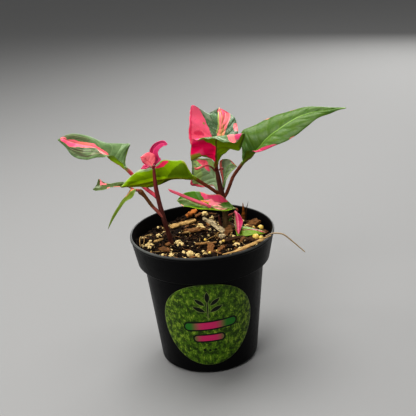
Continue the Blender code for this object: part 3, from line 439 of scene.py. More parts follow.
def labelFinish():
    # a mottled green print with a plain leaf sprig, two blank rounded plates and three dots
    bench = Bench("printedGreenLabel")
    spot, u, v = bench.flat()
    fromMiddle = bench.math("ABSOLUTE", bench.minus(u, 0.5))
    mottle = bench.grain(21.0, 5.0, label["grainRoughness"], (1, 0.75, 1), spot)
    streak = bench.grain(42.0, 4.0, label["grainRoughness"], (1.7, 0.5, 1), spot)
    speckle = bench.grain(120.0, 2.0, label["grainRoughness"], (1, 1, 1), spot)
    colour = bench.wash(label["deepGreen"], label["leafGreen"], mottle, 0.40, 0.56)
    flecks = bench.times(bench.plus(mottle, streak), 0.5)
    flecks = bench.plus(flecks, bench.fade(fromMiddle, 0.1, 0.5, 0.0, 0.05))
    colour = bench.wash(colour, label["lime"], flecks, 0.54, 0.60, 0.0, 0.85)
    colour = bench.wash(colour, label["lime"], speckle, 0.6, 0.68, 0.0, 0.6)

    def plate(midU, midV, halfU, halfV, slope):
        # how far a point is outside a rounded bar, in label widths
        du = bench.minus(u, midU)
        dv = bench.minus(bench.minus(v, midV), bench.times(du, slope))
        past = bench.math("MAXIMUM", bench.minus(bench.math("ABSOLUTE", du), halfU - halfV), 0.0)
        away = bench.math("SQRT", bench.plus(bench.times(past, past), bench.times(dv, dv)))
        return bench.minus(away, halfV)

    def almond(midU, midV, halfLong, halfWide, degrees):
        # two arcs that meet at both ends: across - width * (1 - (along / length)^2)
        c, d = math.cos(math.radians(degrees)), math.sin(math.radians(degrees))
        du, dv = bench.minus(u, midU), bench.minus(v, midV)
        along = bench.plus(bench.times(du, c / halfLong), bench.times(dv, d / halfLong))
        across = bench.minus(bench.times(dv, c), bench.times(du, d))
        bow = bench.times(bench.minus(bench.times(along, along), 1.0), halfWide)
        return bench.plus(bench.math("ABSOLUTE", across), bow)

    warm = bench.wash(label["pink"], label["plateGreen"], fromMiddle, 0.05, 0.2)
    for bar in label["plates"]:
        shape = plate(*bar)
        colour = bench.wash(colour, label["ink"], shape, 0.014, 0.018, 1.0, 0.0)
        colour = bench.wash(colour, warm, shape, -0.003, 0.0, 1.0, 0.0)
    for leaf in label["sprig"]:
        colour = bench.wash(colour, label["edge"], almond(*leaf), 0.005, 0.008, 0.9, 0.0)
    for leaf in label["sprig"]:
        colour = bench.wash(colour, label["ink"], almond(*leaf), 0.0, 0.003, 1.0, 0.0)
    for midU, midV in label["dots"]:
        dot = plate(midU, midV, label["dotSize"], label["dotSize"], 0.0)
        colour = bench.wash(colour, label["ink"], dot, 0.0, 0.003, 1.0, 0.0)
    colour = bench.wash(colour, label["edge"], bench.field("rim"), 0.0, 0.4, 0.6, 0.0)
    roughness = bench.fade(mottle, 0.3, 0.7, 0.34, 0.42)
    return bench.close(colour, roughness, bench.bump(mottle, 0.00008, 0.4), label["gloss"])


def makeLabel():
    # a flat disc wrapped on the tapered wall: distance round the wall and up it are the disc's own x and y
    rings, lift = label["rings"], label["lift"]
    turns = fullTurn(label["around"])
    reach = np.linspace(0.002, 1, rings)
    reach = np.concatenate([reach, [1.0], reach[::-1]])[:, None]  # out over the face, back under it
    level = np.concatenate([np.full(rings, lift + label["thickness"]), [lift + label["bevel"]],
                            np.full(rings, lift)])[:, None]
    across, up = reach * np.cos(turns), reach * np.sin(turns)
    z = label["middle"] + up * label["radius"] * label["slopeShare"]
    radius = potWall(z) + level - label["bevel"] * smooth((reach - 0.93) / 0.07)
    angle = -math.pi / 2 + across * label["radius"] / potWall(np.full_like(z, label["middle"]))
    grid = np.stack([radius * np.cos(angle), radius * np.sin(angle), z], -1)
    fields = {"rim": (1 - reach) * label["radius"] + 0 * turns}
    piece = skin("label", grid, labelFinish(), fields, np.stack([0.5 + 0.5 * across, 0.5 + 0.5 * up], -1))
    wear(piece, "label_paper", "label")


makeLabel()
print("the label is wrapped on")


# the potting mix, in mm

mix = {
    "level": 87.6, "slope": -0.045, "radius": 47.6, "gap": 0.5, "rings": 150, "around": 220, "seed": 19,
    "hillHeight": 0.8, "hillWidth": 16.0, "relief": 0.6, "fineRelief": 0.55, "sink": 1.2, "bury": 0.9,
    "crumbReach": 45.8, "perliteReach": 45.0, "prillReach": 44.0, "chipReach": 44.0, "fibreReach": 43.0,
    "strandReach": 44.5,
    # x, y, width, depth and height: a mound at the back and a hollow at the left back
    "swells": [(0, 43, 18, 10, 3.5), (-30, 30, 14, 14, -2.2)],
    "sideRings": 60, "foot": 1.9, "sideFoot": 2.2, "footInset": 1.6,
    "crumbs": 900, "smallPerlite": 170, "perliteDust": 220, "loosePrills": 7, "smallChips": 260, "fibres": 46,
    "dark": (0.0022, 0.0013, 0.0008), "brown": (0.020, 0.0095, 0.0040), "grey": (0.026, 0.017, 0.010),
    "perlite": (0.56, 0.42, 0.18), "perliteShade": (0.34, 0.22, 0.07), "prill": (0.60, 0.39, 0.05),
    "prillPale": (0.62, 0.47, 0.14), "barkDark": (0.022, 0.010, 0.004), "bark": (0.17, 0.075, 0.024),
    "barkPale": (0.40, 0.25, 0.09), "speckled": (0.66, 0.53, 0.31), "orange": (0.36, 0.12, 0.022),
    "gloss": 0.1, "barkGloss": 0.12,
}

# x, y and radius of the larger perlite lumps, then of the golden prills
perliteLumps = [
    (-1, 23, 3.2), (2.5, 41, 2.8), (8, 37, 2.0), (-42, 10.5, 2.4), (-37.5, -4.5, 3.2), (-37, -13, 1.8),
    (-17, -5, 2.8), (-8.5, -30, 2.9), (-4, -32.5, 2.4), (-19.5, -28.5, 1.4), (22.5, -19, 2.4),
    (24.5, -24, 1.7), (1, -28.5, 2.0), (-31, 11, 2.0), (-43, 7, 1.5), (10, 33, 1.2), (14.5, 20, 0.9),
    (20, -14.5, 1.0), (17, -25, 1.1), (29, -22.5, 1.0), (-18, 9, 0.9), (-15.5, 10, 1.0), (-21, 9.5, 0.8),
    (-32, 31, 1.5), (-27, -26, 1.3), (33, -2, 0.9),
]
prills = [(41.5, 9.5, 2.3), (36, 11, 1.9), (32.5, 17, 2.3), (36.5, -8, 2.5), (40, -10, 1.6), (43.5, 5, 1.3)]
# x, y, length, width, turn, lift and tint of the bark chips; a tint of 0 is dark, 0.4 brown, 0.75 tan,
# 1 speckled and 1.4 orange
barkChips = [
    (-13.5, 29.5, 19, 4.5, 24, 4, 0.72), (8.5, 9, 18, 4.4, 138, 26, 1.0), (13.5, 0, 6, 4, -60, 6, 0.95),
    (18.5, 7, 14, 6, 72, 12, 0.42), (-7, 12, 12, 4.5, -35, 6, 0.54), (2, -17, 14, 2.6, -4, 3, 0.6),
    (5, -24, 9, 4.4, 80, 22, 0.43), (12, -30, 6, 3, 30, 14, 0.36), (-24, -12, 6, 3.5, -60, 14, 0.36),
    (27, -14, 6, 2.4, 50, 16, 0.36), (-8, -38, 5, 3, 15, 10, 0.45), (33, 8, 6, 3.5, -30, 14, 0.55),
    (-7, 41, 9, 5, 12, 16, 1.4), (37, 19, 9, 7, 35, 22, 0.42), (-26, -20, 10, 4, -35, 4, 0.3),
    (-30.6, -1, 7, 2.5, 10, 5, 0.85), (-5.5, 13.5, 10, 3, 20, 12, 0.56), (-11.5, 10, 5, 2.5, -20, 10, 0.66),
    (-2, 38, 6, 3, 30, 10, 0.4), (42, 1, 6, 5, 60, 16, 0.42), (20, -9, 16, 3, 6, 4, 0.1),
    (31, -10, 9, 3, -12, 4, 0.15), (26, -28, 8, 3, 40, 5, 0.3),
]
# upright slivers of bark: foot, tip, bend, radius and tint
mixSlivers = [
    ((30, 31, 82), (31, 31, 100.5), (0.5, 0, 0), 1.7, 1.3),
    ((32.5, 30, 82), (35, 30, 101.5), (-1.0, 0, 0), 0.75, 0.1),
]
# tan root strands: start, end, sideways bow and radius of each
rootFan = [
    ((22, 16), (15, -1), 1.5, 0.7), ((21, 14), (9, 0), -1.5, 0.55), ((20.5, 12), (19, -4), 1.0, 0.5),
    ((12, 8), (2, -6), 1.5, 0.4), ((-43, -9), (-42.5, 9), 1.0, 0.35), ((-42, -7), (-41, 7), -0.8, 0.3),
    ((-41.5, 2), (-35, 15), 0.8, 0.3),
]
draw = random.Random(mix["seed"])  # one run of draws for the whole mix, so its steps stay in this order


def mixHeight(x, y):
    # the surface in mm: a slope, gentle hills, and bell-shaped swells
    flat = np.stack([x, y, 0 * x + 4.0], -1)
    height = mix["level"] + mix["slope"] * y + mix["hillHeight"] * waves(flat, mix["hillWidth"], 3, 2)
    for midX, midY, wide, deep, tall in mix["swells"]:
        height = height + tall * np.exp(-(((x - midX) / wide)**2 + ((y - midY) / deep)**2))
    return height


def pile(name, shapes, finish, slot):
    # many small closed shapes, each (points, faces, tint), gathered in one piece
    mesh = gather(name, shapes)
    setField(mesh, "tint", np.concatenate([np.full(len(shape[0]), shape[2]) for shape in shapes]))
    mesh.materials.append(finish)
    wear(addObject(name, mesh), slot, "potting_mix")
    return mesh


def globe(rows, around):
    # unit sphere as (points, faces): rows of points from pole to pole with the poles single
    lat, turn = np.linspace(0, math.pi, rows + 2)[1:-1, None], fullTurn(around)
    body = np.stack([np.sin(lat) * np.cos(turn), np.sin(lat) * np.sin(turn), np.cos(lat) + 0 * turn], -1)
    points = np.concatenate([[[0, 0, 1]], body.reshape(-1, 3), [[0, 0, -1]]])
    faces = [(0, 1 + k, 1 + (k + 1) % around) for k in range(around)]
    for low in range(1, 1 + (rows - 1) * around, around):
        faces += [(low + k, low + around + k, low + around + (k + 1) % around, low + (k + 1) % around)
                  for k in range(around)]
    low, end = 1 + (rows - 1) * around, len(points) - 1
    faces += [(end, low + (k + 1) % around, low + k) for k in range(around)]
    return points, faces


def turned(points, angles):
    # turned about X, then Y, then Z by the three angles, given in the order Z, Y, X
    a, b, c = angles
    rz = np.array([[math.cos(a), -math.sin(a), 0], [math.sin(a), math.cos(a), 0], [0, 0, 1]])
    ry = np.array([[math.cos(b), 0, math.sin(b)], [0, 1, 0], [-math.sin(b), 0, math.cos(b)]])
    rx = np.array([[1, 0, 0], [0, math.cos(c), -math.sin(c)], [0, math.sin(c), math.cos(c)]])
    return points @ (rz @ ry @ rx).T


def knobble(radius, seed, rough, rows, around, squash=0.8):
    # a lump: a globe whose radius is 1 + rough * waves, flattened to the squash
    points, faces = globe(rows, around)
    points = points * (1 + rough * waves(points, 1.6, seed, 2))[:, None]
    return points * radius * np.array([1, 1, squash]), faces


def chipShape(length, width, thick, seed):
    # a split chip: a slab whose half width tapers by a power of the length share, torn by waves, skewed,
    # and ridged on top; the seed gives each chip its own taper
    u, v = np.linspace(-1, 1, 12), np.linspace(-1, 1, 6)
    torn = waves(np.stack([u * 3, 0 * u, 0 * u + seed], -1), 1.8, seed, 2) * min(1, length / width / 3)
    taper = (0.45 + 0.3 * math.sin(seed)) * abs(u)**(2.5 + 2 * math.cos(seed))
    half = width / 2 * (1 - taper) * (1 + 0.2 * torn)
    skew = 0.22 * math.sin(seed * 2.3) * width * u + 0.12 * width * torn[::-1]
    top = np.stack([u[:, None] * length / 2 + 0.04 * length * np.sin(v * 5 + seed),
                    half[:, None] * v + skew[:, None],
                    thick * (1 - 0.35 * v**2) * (1 - 0.5 * abs(u[:, None])**4)], -1)
    top[..., 2] += 0.25 * thick * waves(top / width * np.array([0.5, 3, 1]) + seed, 1.3, seed, 2)
    low = top.copy()
    low[..., 2] = -0.4 * thick
    grid = np.concatenate([top, low[:, ::-1]], axis=1)
    return grid.reshape(-1, 3), tubeFaces(*grid.shape[:2])


def thread(line, radius, tint, flat=1.0):
    # a thin tube round a line of points, thinner towards its end, or an upright splinter when flat is small
    ahead = unit(np.gradient(line, axis=0))
    side = unit(np.cross(ahead, [0.13, -0.31, 1.0] if flat == 1.0 else [0, 1, 0]))
    up = np.cross(side, ahead)
    turn = fullTurn(8)[:, None]
    ring = np.cos(turn) * side[:, None] + flat * np.sin(turn) * up[:, None]
    grid = line[:, None] + ring * radius[:, None, None]
    return grid.reshape(-1, 3), tubeFaces(len(line), 8), tint


def lying(start, end, bow, lift, radius, tint):
    # a strand that lies on the mix between two places, bowed sideways by a half sine
    start, end = np.array(start, float), np.array(end, float)
    t = np.linspace(0, 1, 14)[:, None]
    way = end - start
    flat = start + way * t + unit(np.array([-way[1], way[0]])) * bow * np.sin(math.pi * t)
    flat *= np.minimum(1, mix["strandReach"] / np.hypot(flat[:, :1], flat[:, 1:]))
    fromMiddle = abs(2 * t[:, 0] - 1)
    z = mixHeight(flat[:, 0], flat[:, 1]) + lift - 2.2 * radius * fromMiddle**2
    return thread(np.column_stack([flat, z]), radius * (1 - 0.75 * fromMiddle**3), tint)


def onMix(shape, x, y, lift, angles, tint=0.5):
    # a shape turned and set down on the mix, a little sunk in
    z = float(mixHeight(np.array([x]), np.array([y]))[0])
    return turned(shape[0], angles) + [x, y, z - mix["bury"] + lift], shape[1], tint


def anyPlace(limit):
    # a random place within the circle
    while True:
        x, y = draw.uniform(-limit, limit), draw.uniform(-limit, limit)
        if math.hypot(x, y) < limit:
            return x, y


def spin():
    # any turn about Z, and a small one about Y and X
    return draw.uniform(0, 6.28), draw.uniform(-0.5, 0.5), draw.uniform(-0.5, 0.5)


def makeSurface():
    # a disc of rings raised by mixHeight and a crumbly relief, then down the wall to the pot's floor
    turns = fullTurn(mix["around"])
    cosine, sine = np.cos(turns), np.sin(turns)
    reach = np.linspace(0.004, 1, mix["rings"])[:, None]
    radius = reach * (mix["radius"] + 0 * turns)
    x, y = radius * cosine, radius * sine
    flat = np.stack([x, y, 0 * x], -1)
    relief = mix["relief"] * waves(flat, 4.5, 8, 3) + mix["fineRelief"] * abs(waves(flat, 1.9, 11, 2))
    z = mixHeight(x, y) + relief * smooth((1.02 - reach) / 0.05) - mix["sink"]
    squeeze = np.minimum(1, (potWall(z) - pot["wall"] - mix["gap"]) / np.maximum(radius, 0.1))
    top = np.stack([x * squeeze, y * squeeze, z], -1)
    down = np.linspace(0, 1, mix["sideRings"])[1:, None]
    height = top[-1, :, 2] * (1 - down) + mix["sideFoot"] * down
    wall = np.minimum(potWall(height), potWall(height - 1.5)) - pot["wall"] - mix["gap"]
    side = np.stack([cosine * wall, sine * wall, height], -1)
    lowRadius = pot["base"] - pot["wall"] - mix["footInset"]
    foot = np.stack([cosine * lowRadius, sine * lowRadius, 0 * turns + mix["foot"]], -1)
    bottom = foot * np.linspace(1, 0.01, 3)[1:, None, None] * [1, 1, 0] + [0, 0, mix["foot"]]
    bench = Bench("dampMix")
    colour = bench.wash(mix["dark"], mix["brown"], bench.grain(315.0, 4), 0.35, 0.65)
    colour = bench.wash(colour, mix["grey"], bench.grain(900.0), 0.55, 0.75)
    damp = bench.close(colour, 0.85, bench.bump(bench.grain(1440.0, 4), 0.0005, 0.7), mix["gloss"])
    piece = skin("potting_mix_surface", np.concatenate([top, side, foot[None], bottom]), damp)
    wear(piece, "potting_mix", "potting_mix")


def makeCrumbs():
    # crumbs of peat and fine bark over the whole surface
    crumbs = []
    for k in range(mix["crumbs"]):
        x, y = anyPlace(mix["crumbReach"])
        size = draw.uniform(0.5, 1.5)
        lump = knobble(size, k, 0.28, 3, 6, 0.7)
        crumbs.append(onMix(lump, x, y, 0.25 * size + 0.5, spin(), draw.random()))
    bench = Bench("peatCrumbs")
    shade = bench.blend(bench.field("tint"), mix["dark"], mix["brown"])
    shade = bench.wash(shade, mix["grey"], bench.grain(600.0), 0.5, 0.8, 0.0, 0.5)
    peat = bench.close(shade, 0.9, bench.bump(bench.grain(1500.0), 0.0003, 0.7), mix["gloss"])
    pile("potting_mix_crumbs", crumbs, peat, "potting_mix")


def makePerlite():
    # the placed lumps, each one main lump with six smaller ones grown into it, then two scatters, the
    # first of them thicker on the left and at the front
    lumps = []
    for k, (x, y, r) in enumerate(perliteLumps):
        for part in range(7):
            away = (0.5 + 0.04 * part) * (part > 0) * r
            size = r * (draw.uniform(0.34, 0.52) if part else 0.72)
            lumps.append(onMix(knobble(size, 40 + k * 9 + part, 0.2, 8, 12),
                               x + away * math.cos(part * 2.4 + k), y + away * math.sin(part * 2.4 + k),
                               r * (0.34 - 0.04 * part) + 0.3, spin(), draw.random()))
    for k in range(mix["smallPerlite"]):
        x, y = anyPlace(mix["perliteReach"])
        if draw.random() > 0.45 + 0.3 * (x < -10) + 0.2 * (y < -15) + 0.1 * (x > 20):
            continue
        size = draw.uniform(0.35, 1.35)
        lumps.append(onMix(knobble(size, 300 + k, 0.2, 5, 8), x, y, 0.35 * size + 0.7, spin(), draw.random()))
    for k in range(mix["perliteDust"]):
        x, y = anyPlace(mix["perliteReach"])
        size = draw.uniform(0.2, 0.42)
        lumps.append(onMix(knobble(size, 500 + k, 0.15, 3, 6), x, y, 0.9 + 0.4 * size, spin(), draw.random()))
    bench = Bench("creamPerlite")
    pores = bench.grain(1400.0, 4, 0.7)
    shade = bench.blend(bench.field("tint"), tuple(0.8 * c for c in mix["perlite"]),
                        tuple(1.2 * c for c in mix["perlite"]))
    shade = bench.wash(shade, mix["perliteShade"], bench.grain(420.0), 0.5, 0.68, 0.0, 0.8)
    shade = bench.wash(shade, mix["brown"], pores, 0.62, 0.72, 0.0, 0.7)
    pile("potting_mix_perlite", lumps, bench.close(shade, 0.9, bench.bump(pores, 0.0004, 0.9)), "potting_mix")


def makePrills():
    # smooth round beads, the loose ones on the right
    beads = [onMix(knobble(r, 700 + k, 0.02, 12, 20, 0.95), x, y, r * 0.5 + 0.5, spin())
             for k, (x, y, r) in enumerate(prills)]
    for k in range(mix["loosePrills"]):
        x, y = anyPlace(mix["prillReach"])
        beads.append(onMix(knobble(1.1, 720 + k, 0.02, 10, 16, 0.95), abs(x), y, 0.9, spin()))
    bench = Bench("goldenPrills")
    speck = bench.grain(900.0)
    gold = bench.close(bench.wash(mix["prill"], mix["prillPale"], speck, 0.4, 0.7), 0.45,
                       bench.bump(speck, 0.0001, 0.5))
    shadeSmooth(pile("potting_mix_prills", beads, gold, "potting_mix"))


def barkFinish():
    # split bark: its colour follows each chip's tint, under dark stripes, with specks on the speckled ones
    bench = Bench("splitBark")
    tint = bench.field("tint")
    stripes = bench.grain(500.0, 3, 0.6, (0.3, 1, 1))
    specks = bench.grain(1300.0, 2)
    shade = bench.wash(mix["barkDark"], mix["bark"], tint, 0.0, 0.4)
    shade = bench.wash(shade, mix["barkPale"], tint, 0.5, 0.75)
    shade = bench.wash(shade, mix["speckled"], tint, 0.85, 0.98)
    shade = bench.wash(shade, mix["orange"], tint, 1.2, 1.3)
    shade = bench.wash(shade, mix["barkDark"], stripes, 0.44, 0.68, 0.0, 0.72)
    flecked = bench.times(bench.fade(tint, 0.85, 0.98, 0.25, 1.0), bench.fade(tint, 1.15, 1.25, 1.0, 0.2))
    shade = bench.blend(bench.times(bench.fade(specks, 0.54, 0.62, 0.0, 0.85), flecked), shade, mix["brown"])
    return bench.close(shade, 0.8, bench.bump(stripes, 0.0006, 0.8), mix["barkGloss"])


def makeBark():
    # the placed chips, a scatter of small ones, the upright slivers, the root strands and fine fibres
    chips = []
    for k, (x, y, length, width, turn, lift, tint) in enumerate(barkChips):
        angles = (math.radians(turn), math.radians(-lift), 0.1)
        chips.append(onMix(chipShape(length, width, 0.2 * width + 0.2, 5 + k), x, y,
                           1.9 + 0.02 * lift * length / 2, angles, tint))
    for k in range(mix["smallChips"]):
        x, y = anyPlace(mix["chipReach"])
        length = draw.uniform(1.8, 6.5)
        chip = chipShape(length, length * draw.uniform(0.2, 0.5), draw.uniform(0.25, 0.55), 30 + k)
        angles = draw.uniform(0, 6.28), draw.uniform(-0.35, 0.35), draw.uniform(-0.5, 0.5)
        chips.append(onMix(chip, x, y, 0.9, angles, draw.random()**3 * 0.62))
    rise = np.linspace(0, 1, 14)
    for foot, tip, bend, r, tint in mixSlivers:
        line = np.outer(1 - rise, foot) + np.outer(rise, tip) + np.outer(np.sin(math.pi * rise), bend)
        chips.append(thread(line, r * (1 - 0.93 * rise**1.7), tint, 0.5))
    for start, end, bow, r in rootFan:
        chips.append(lying(start, end, bow, 1.2 + r, r, 0.7))
    for k in range(mix["fibres"]):
        x, y = anyPlace(mix["fibreReach"])
        way, length = draw.uniform(0, 6.28), draw.uniform(4, 13)
        end = (x + length * math.cos(way), y + length * math.sin(way))
        chips.append(lying((x, y), end, draw.uniform(-2.5, 2.5), draw.uniform(0.3, 1.3),
                           draw.uniform(0.1, 0.22), draw.choice((0.1, 0.45, 0.75))))
    pile("potting_mix_bark", chips, splitBark, "bark")


makeSurface()
makeCrumbs()
makePerlite()
makePrills()
splitBark = barkFinish()
makeBark()
print("the potting mix is filled in")


# the bark strip, the dry root and the stems are bars along a route; all in mm

rodUsual = {"around": 32, "step": 0.35, "relief": 0.05, "seed": 3, "flatten": 1.0, "level": (0.1, 1, 0.05)}


def rod(name, bar, finish):
    # circles of the given radii carried along the smooth route, with sine ridges on them and a rounded end
    bar = dict(rodUsual, **bar)
    route = np.array(bar["route"], float)
    last = len(route) - 1
    length = np.linalg.norm(np.diff(route, axis=0), axis=1).sum()
    places = np.linspace(0, last, max(8, int(length / bar["step"])))
    line = smoothCurve(route, places)
    radius = np.interp(places, np.linspace(0, last, len(bar["radii"])), bar["radii"])
    ahead = unit(np.gradient(line, axis=0))
    side = unit(np.cross(ahead, bar["level"]))
    up = np.cross(side, ahead)
    turn = fullTurn(bar["around"])
    along = places[:, None] + 0 * turn
    lobes = 1 + bar["relief"] * (0.5 * np.sin(3 * turn + 2 * along + bar["seed"])
                                 + 0.3 * np.sin(7 * turn + bar["seed"]) + 0.3 * np.sin(9 * along + 4 * turn))
    ends = np.sqrt(np.clip(1 - np.clip(1 - (last - places) / 0.12, 0, 1)**2, 0.01, 1))  # round tip
    size = (radius * ends)[:, None] * lobes
    grid = line[:, None] + size[..., None] * (np.cos(turn)[:, None] * side[:, None]
                                              + bar["flatten"] * np.sin(turn)[:, None] * up[:, None])
    return skin(name, grid, finish, {"along": (places / last)[:, None]})


strip = {
    "radii": [0.6, 1.4, 1.7, 1.45, 0.6], "around": 28, "step": 0.45, "relief": 0.3, "seed": 4, "flatten": 0.3,
    "level": (0, 0, 1), "tint": 0.7,
    "route": [(12, -40, 92.2), (20, -40, 93.6), (29, -37.5, 95.8), (38, -31.5, 96.8), (45.5, -26.5, 97.4)],
}
root = {
    "radii": [0.3, 0.45, 0.5, 0.5, 0.42, 0.35], "around": 12, "step": 0.6, "relief": 0.12, "seed": 2,
    "route": [(41.5, -29.4, 98.4), (46, -26.6, 98.8), (51, -25, 97.8), (55, -24, 95.6), (62, -23, 88.5),
              (68.5, -22, 81.5)],
    "straw": (0.42, 0.31, 0.18), "strawDark": (0.24, 0.15, 0.075),
}


def makeStrip():
    piece = rod("bark_strip", strip, splitBark)
    setField(piece.data, "tint", np.full(len(piece.data.vertices), strip["tint"]))
    wear(piece, "bark", "bark_strip")


def makeRoot():
    bench = Bench("dryRoot")
    tone = bench.grain(700.0)
    straw = bench.blend(tone, root["straw"], root["strawDark"])
    straw = bench.close(straw, 0.7, bench.bump(tone, 0.0002, 0.6))
    wear(rod("dry_root", root, straw), "bark", "dry_root")


makeStrip()
makeRoot()
print("the bark strip and the dry root are laid on")


# stems: the colour goes from low to high over the heights in "split", which are in metres
stems = {
    "stem_left": {
        "route": [(-20.5, -3, 80), (-22, -3, 88), (-23.5, -3, 96), (-25, -3, 102.5),
                  (-27.5, -2, 115), (-29, -1, 125.5), (-29.5, 0, 135), (-29.5, 0.5, 141)],
        "radii": [1.9, 1.85, 1.65, 1.75, 1.6, 1.5, 1.2, 0.9],
        "low": (0.050, 0.012, 0.009), "high": (0.15, 0.016, 0.016), "split": (0.10, 0.14),
    },
    "stem_right": {
        "route": [(17.5, 19, 80), (17.5, 19, 88), (17.5, 19, 96.5), (17, 19, 104),
                  (16, 19, 111), (15, 19, 117), (14, 19, 125.5), (13, 18.5, 132)],
        "radii": [2.3, 2.3, 2.2, 2.1, 2.1, 1.8, 1.6, 1.3],
        "low": (0.085, 0.055, 0.022), "high": (0.062, 0.014, 0.008), "split": (0.096, 0.108),
    },
    "stem_thin": {
        "route": [(15, 14.5, 80), (14.5, 14.5, 86), (13.5, 14.5, 91.5), (12.5, 14.5, 98.5)],
        "radii": [1.1, 1.1, 1.0, 0.7],
        "low": (0.06, 0.018, 0.010), "high": (0.06, 0.012, 0.009), "split": (0.09, 0.1),
    },
    "stem_left_side_shoot": {
        "node": "stem_left", "around": 28, "step": 0.3, "relief": 0.07, "seed": 5,
        "route": [(-26, -3, 107), (-30, -3.2, 112), (-33, -3.5, 116), (-37, -4, 123), (-39.5, -4.2, 126.3),
                  (-40.2, -4.3, 128)],
        "radii": [1.3, 1.2, 1.15, 1.2, 1.9, 1.2],
        "low": (0.26, 0.065, 0.05), "high": (0.105, 0.042, 0.010), "split": (0.112, 0.116),
    },
}
stemLook = {"ridge": (0.15, 0.06, 0.03), "blotch": (0.012, 0.004, 0.003), "ragged": 0.02, "gloss": 0.25}


def stemFinish(name, stem):
    bench = Bench(name + "Bark")
    ridges = bench.grain(900.0, 3, 0.6, (1, 1, 0.16))
    blotch = bench.grain(240.0)
    height = bench.plus(bench.place(2), bench.times(bench.minus(blotch, 0.5), stemLook["ragged"]))
    colour = bench.wash(stem["low"], stem["high"], height, *stem["split"])
    colour = bench.wash(colour, stemLook["ridge"], ridges, 0.45, 0.72, 0.0, 0.3)
    colour = bench.wash(colour, stemLook["blotch"], blotch, 0.55, 0.7, 0.0, 0.35)
    roughness = bench.fade(ridges, 0.3, 0.7, 0.38, 0.55)
    return bench.close(colour, roughness, bench.bump(ridges, 0.00035, 0.6), stemLook["gloss"])


for stemName, stem in stems.items():
    wear(rod(stemName, stem, stemFinish(stemName, stem)), "stem", stem.get("node", stemName))
print("the stems are standing")


# leaves; what a leaf doesn't say itself is in leafUsual, in mm, and its colours in palette
leafUsual = {
    "bulge": (0, 0), "ripple": (0, 3), "pleat": 0.26, "veins": 9, "ribWidth": 0.22, "rimShow": 0.45,
    "gloss": 0.3, "paintedSheen": 0.0, "quilt": 0.00018, "patches": {}, "tones": {}, "slot": "leaf_green",
    "step": 0.55, "half": 26, "thickness": 0.42, "stalkStep": 0.5, "fieldReach": 6.0,
}
palette = {
    "green": (0.090, 0.19, 0.045), "darkGreen": (0.045, 0.11, 0.028), "lightGreen": (0.20, 0.34, 0.09),
    "under": (0.085, 0.16, 0.012), "underDark": (0.045, 0.08, 0.004), "lightUnder": (0.16, 0.26, 0.05),
    "pink": (0.84, 0.105, 0.165), "salmon": (0.84, 0.19, 0.165), "magenta": (0.60, 0.010, 0.055),
    "peach": (0.86, 0.24, 0.20), "olive": (0.13, 0.105, 0.065), "cream": (0.75, 0.55, 0.30),
    "fleck": (0.20, 0.20, 0.06), "streak": (0.32, 0.25, 0.17), "stalk": (0.13, 0.03, 0.02),
    "ribTop": (0.20, 0.33, 0.10), "ribUnder": (0.16, 0.10, 0.03),
}
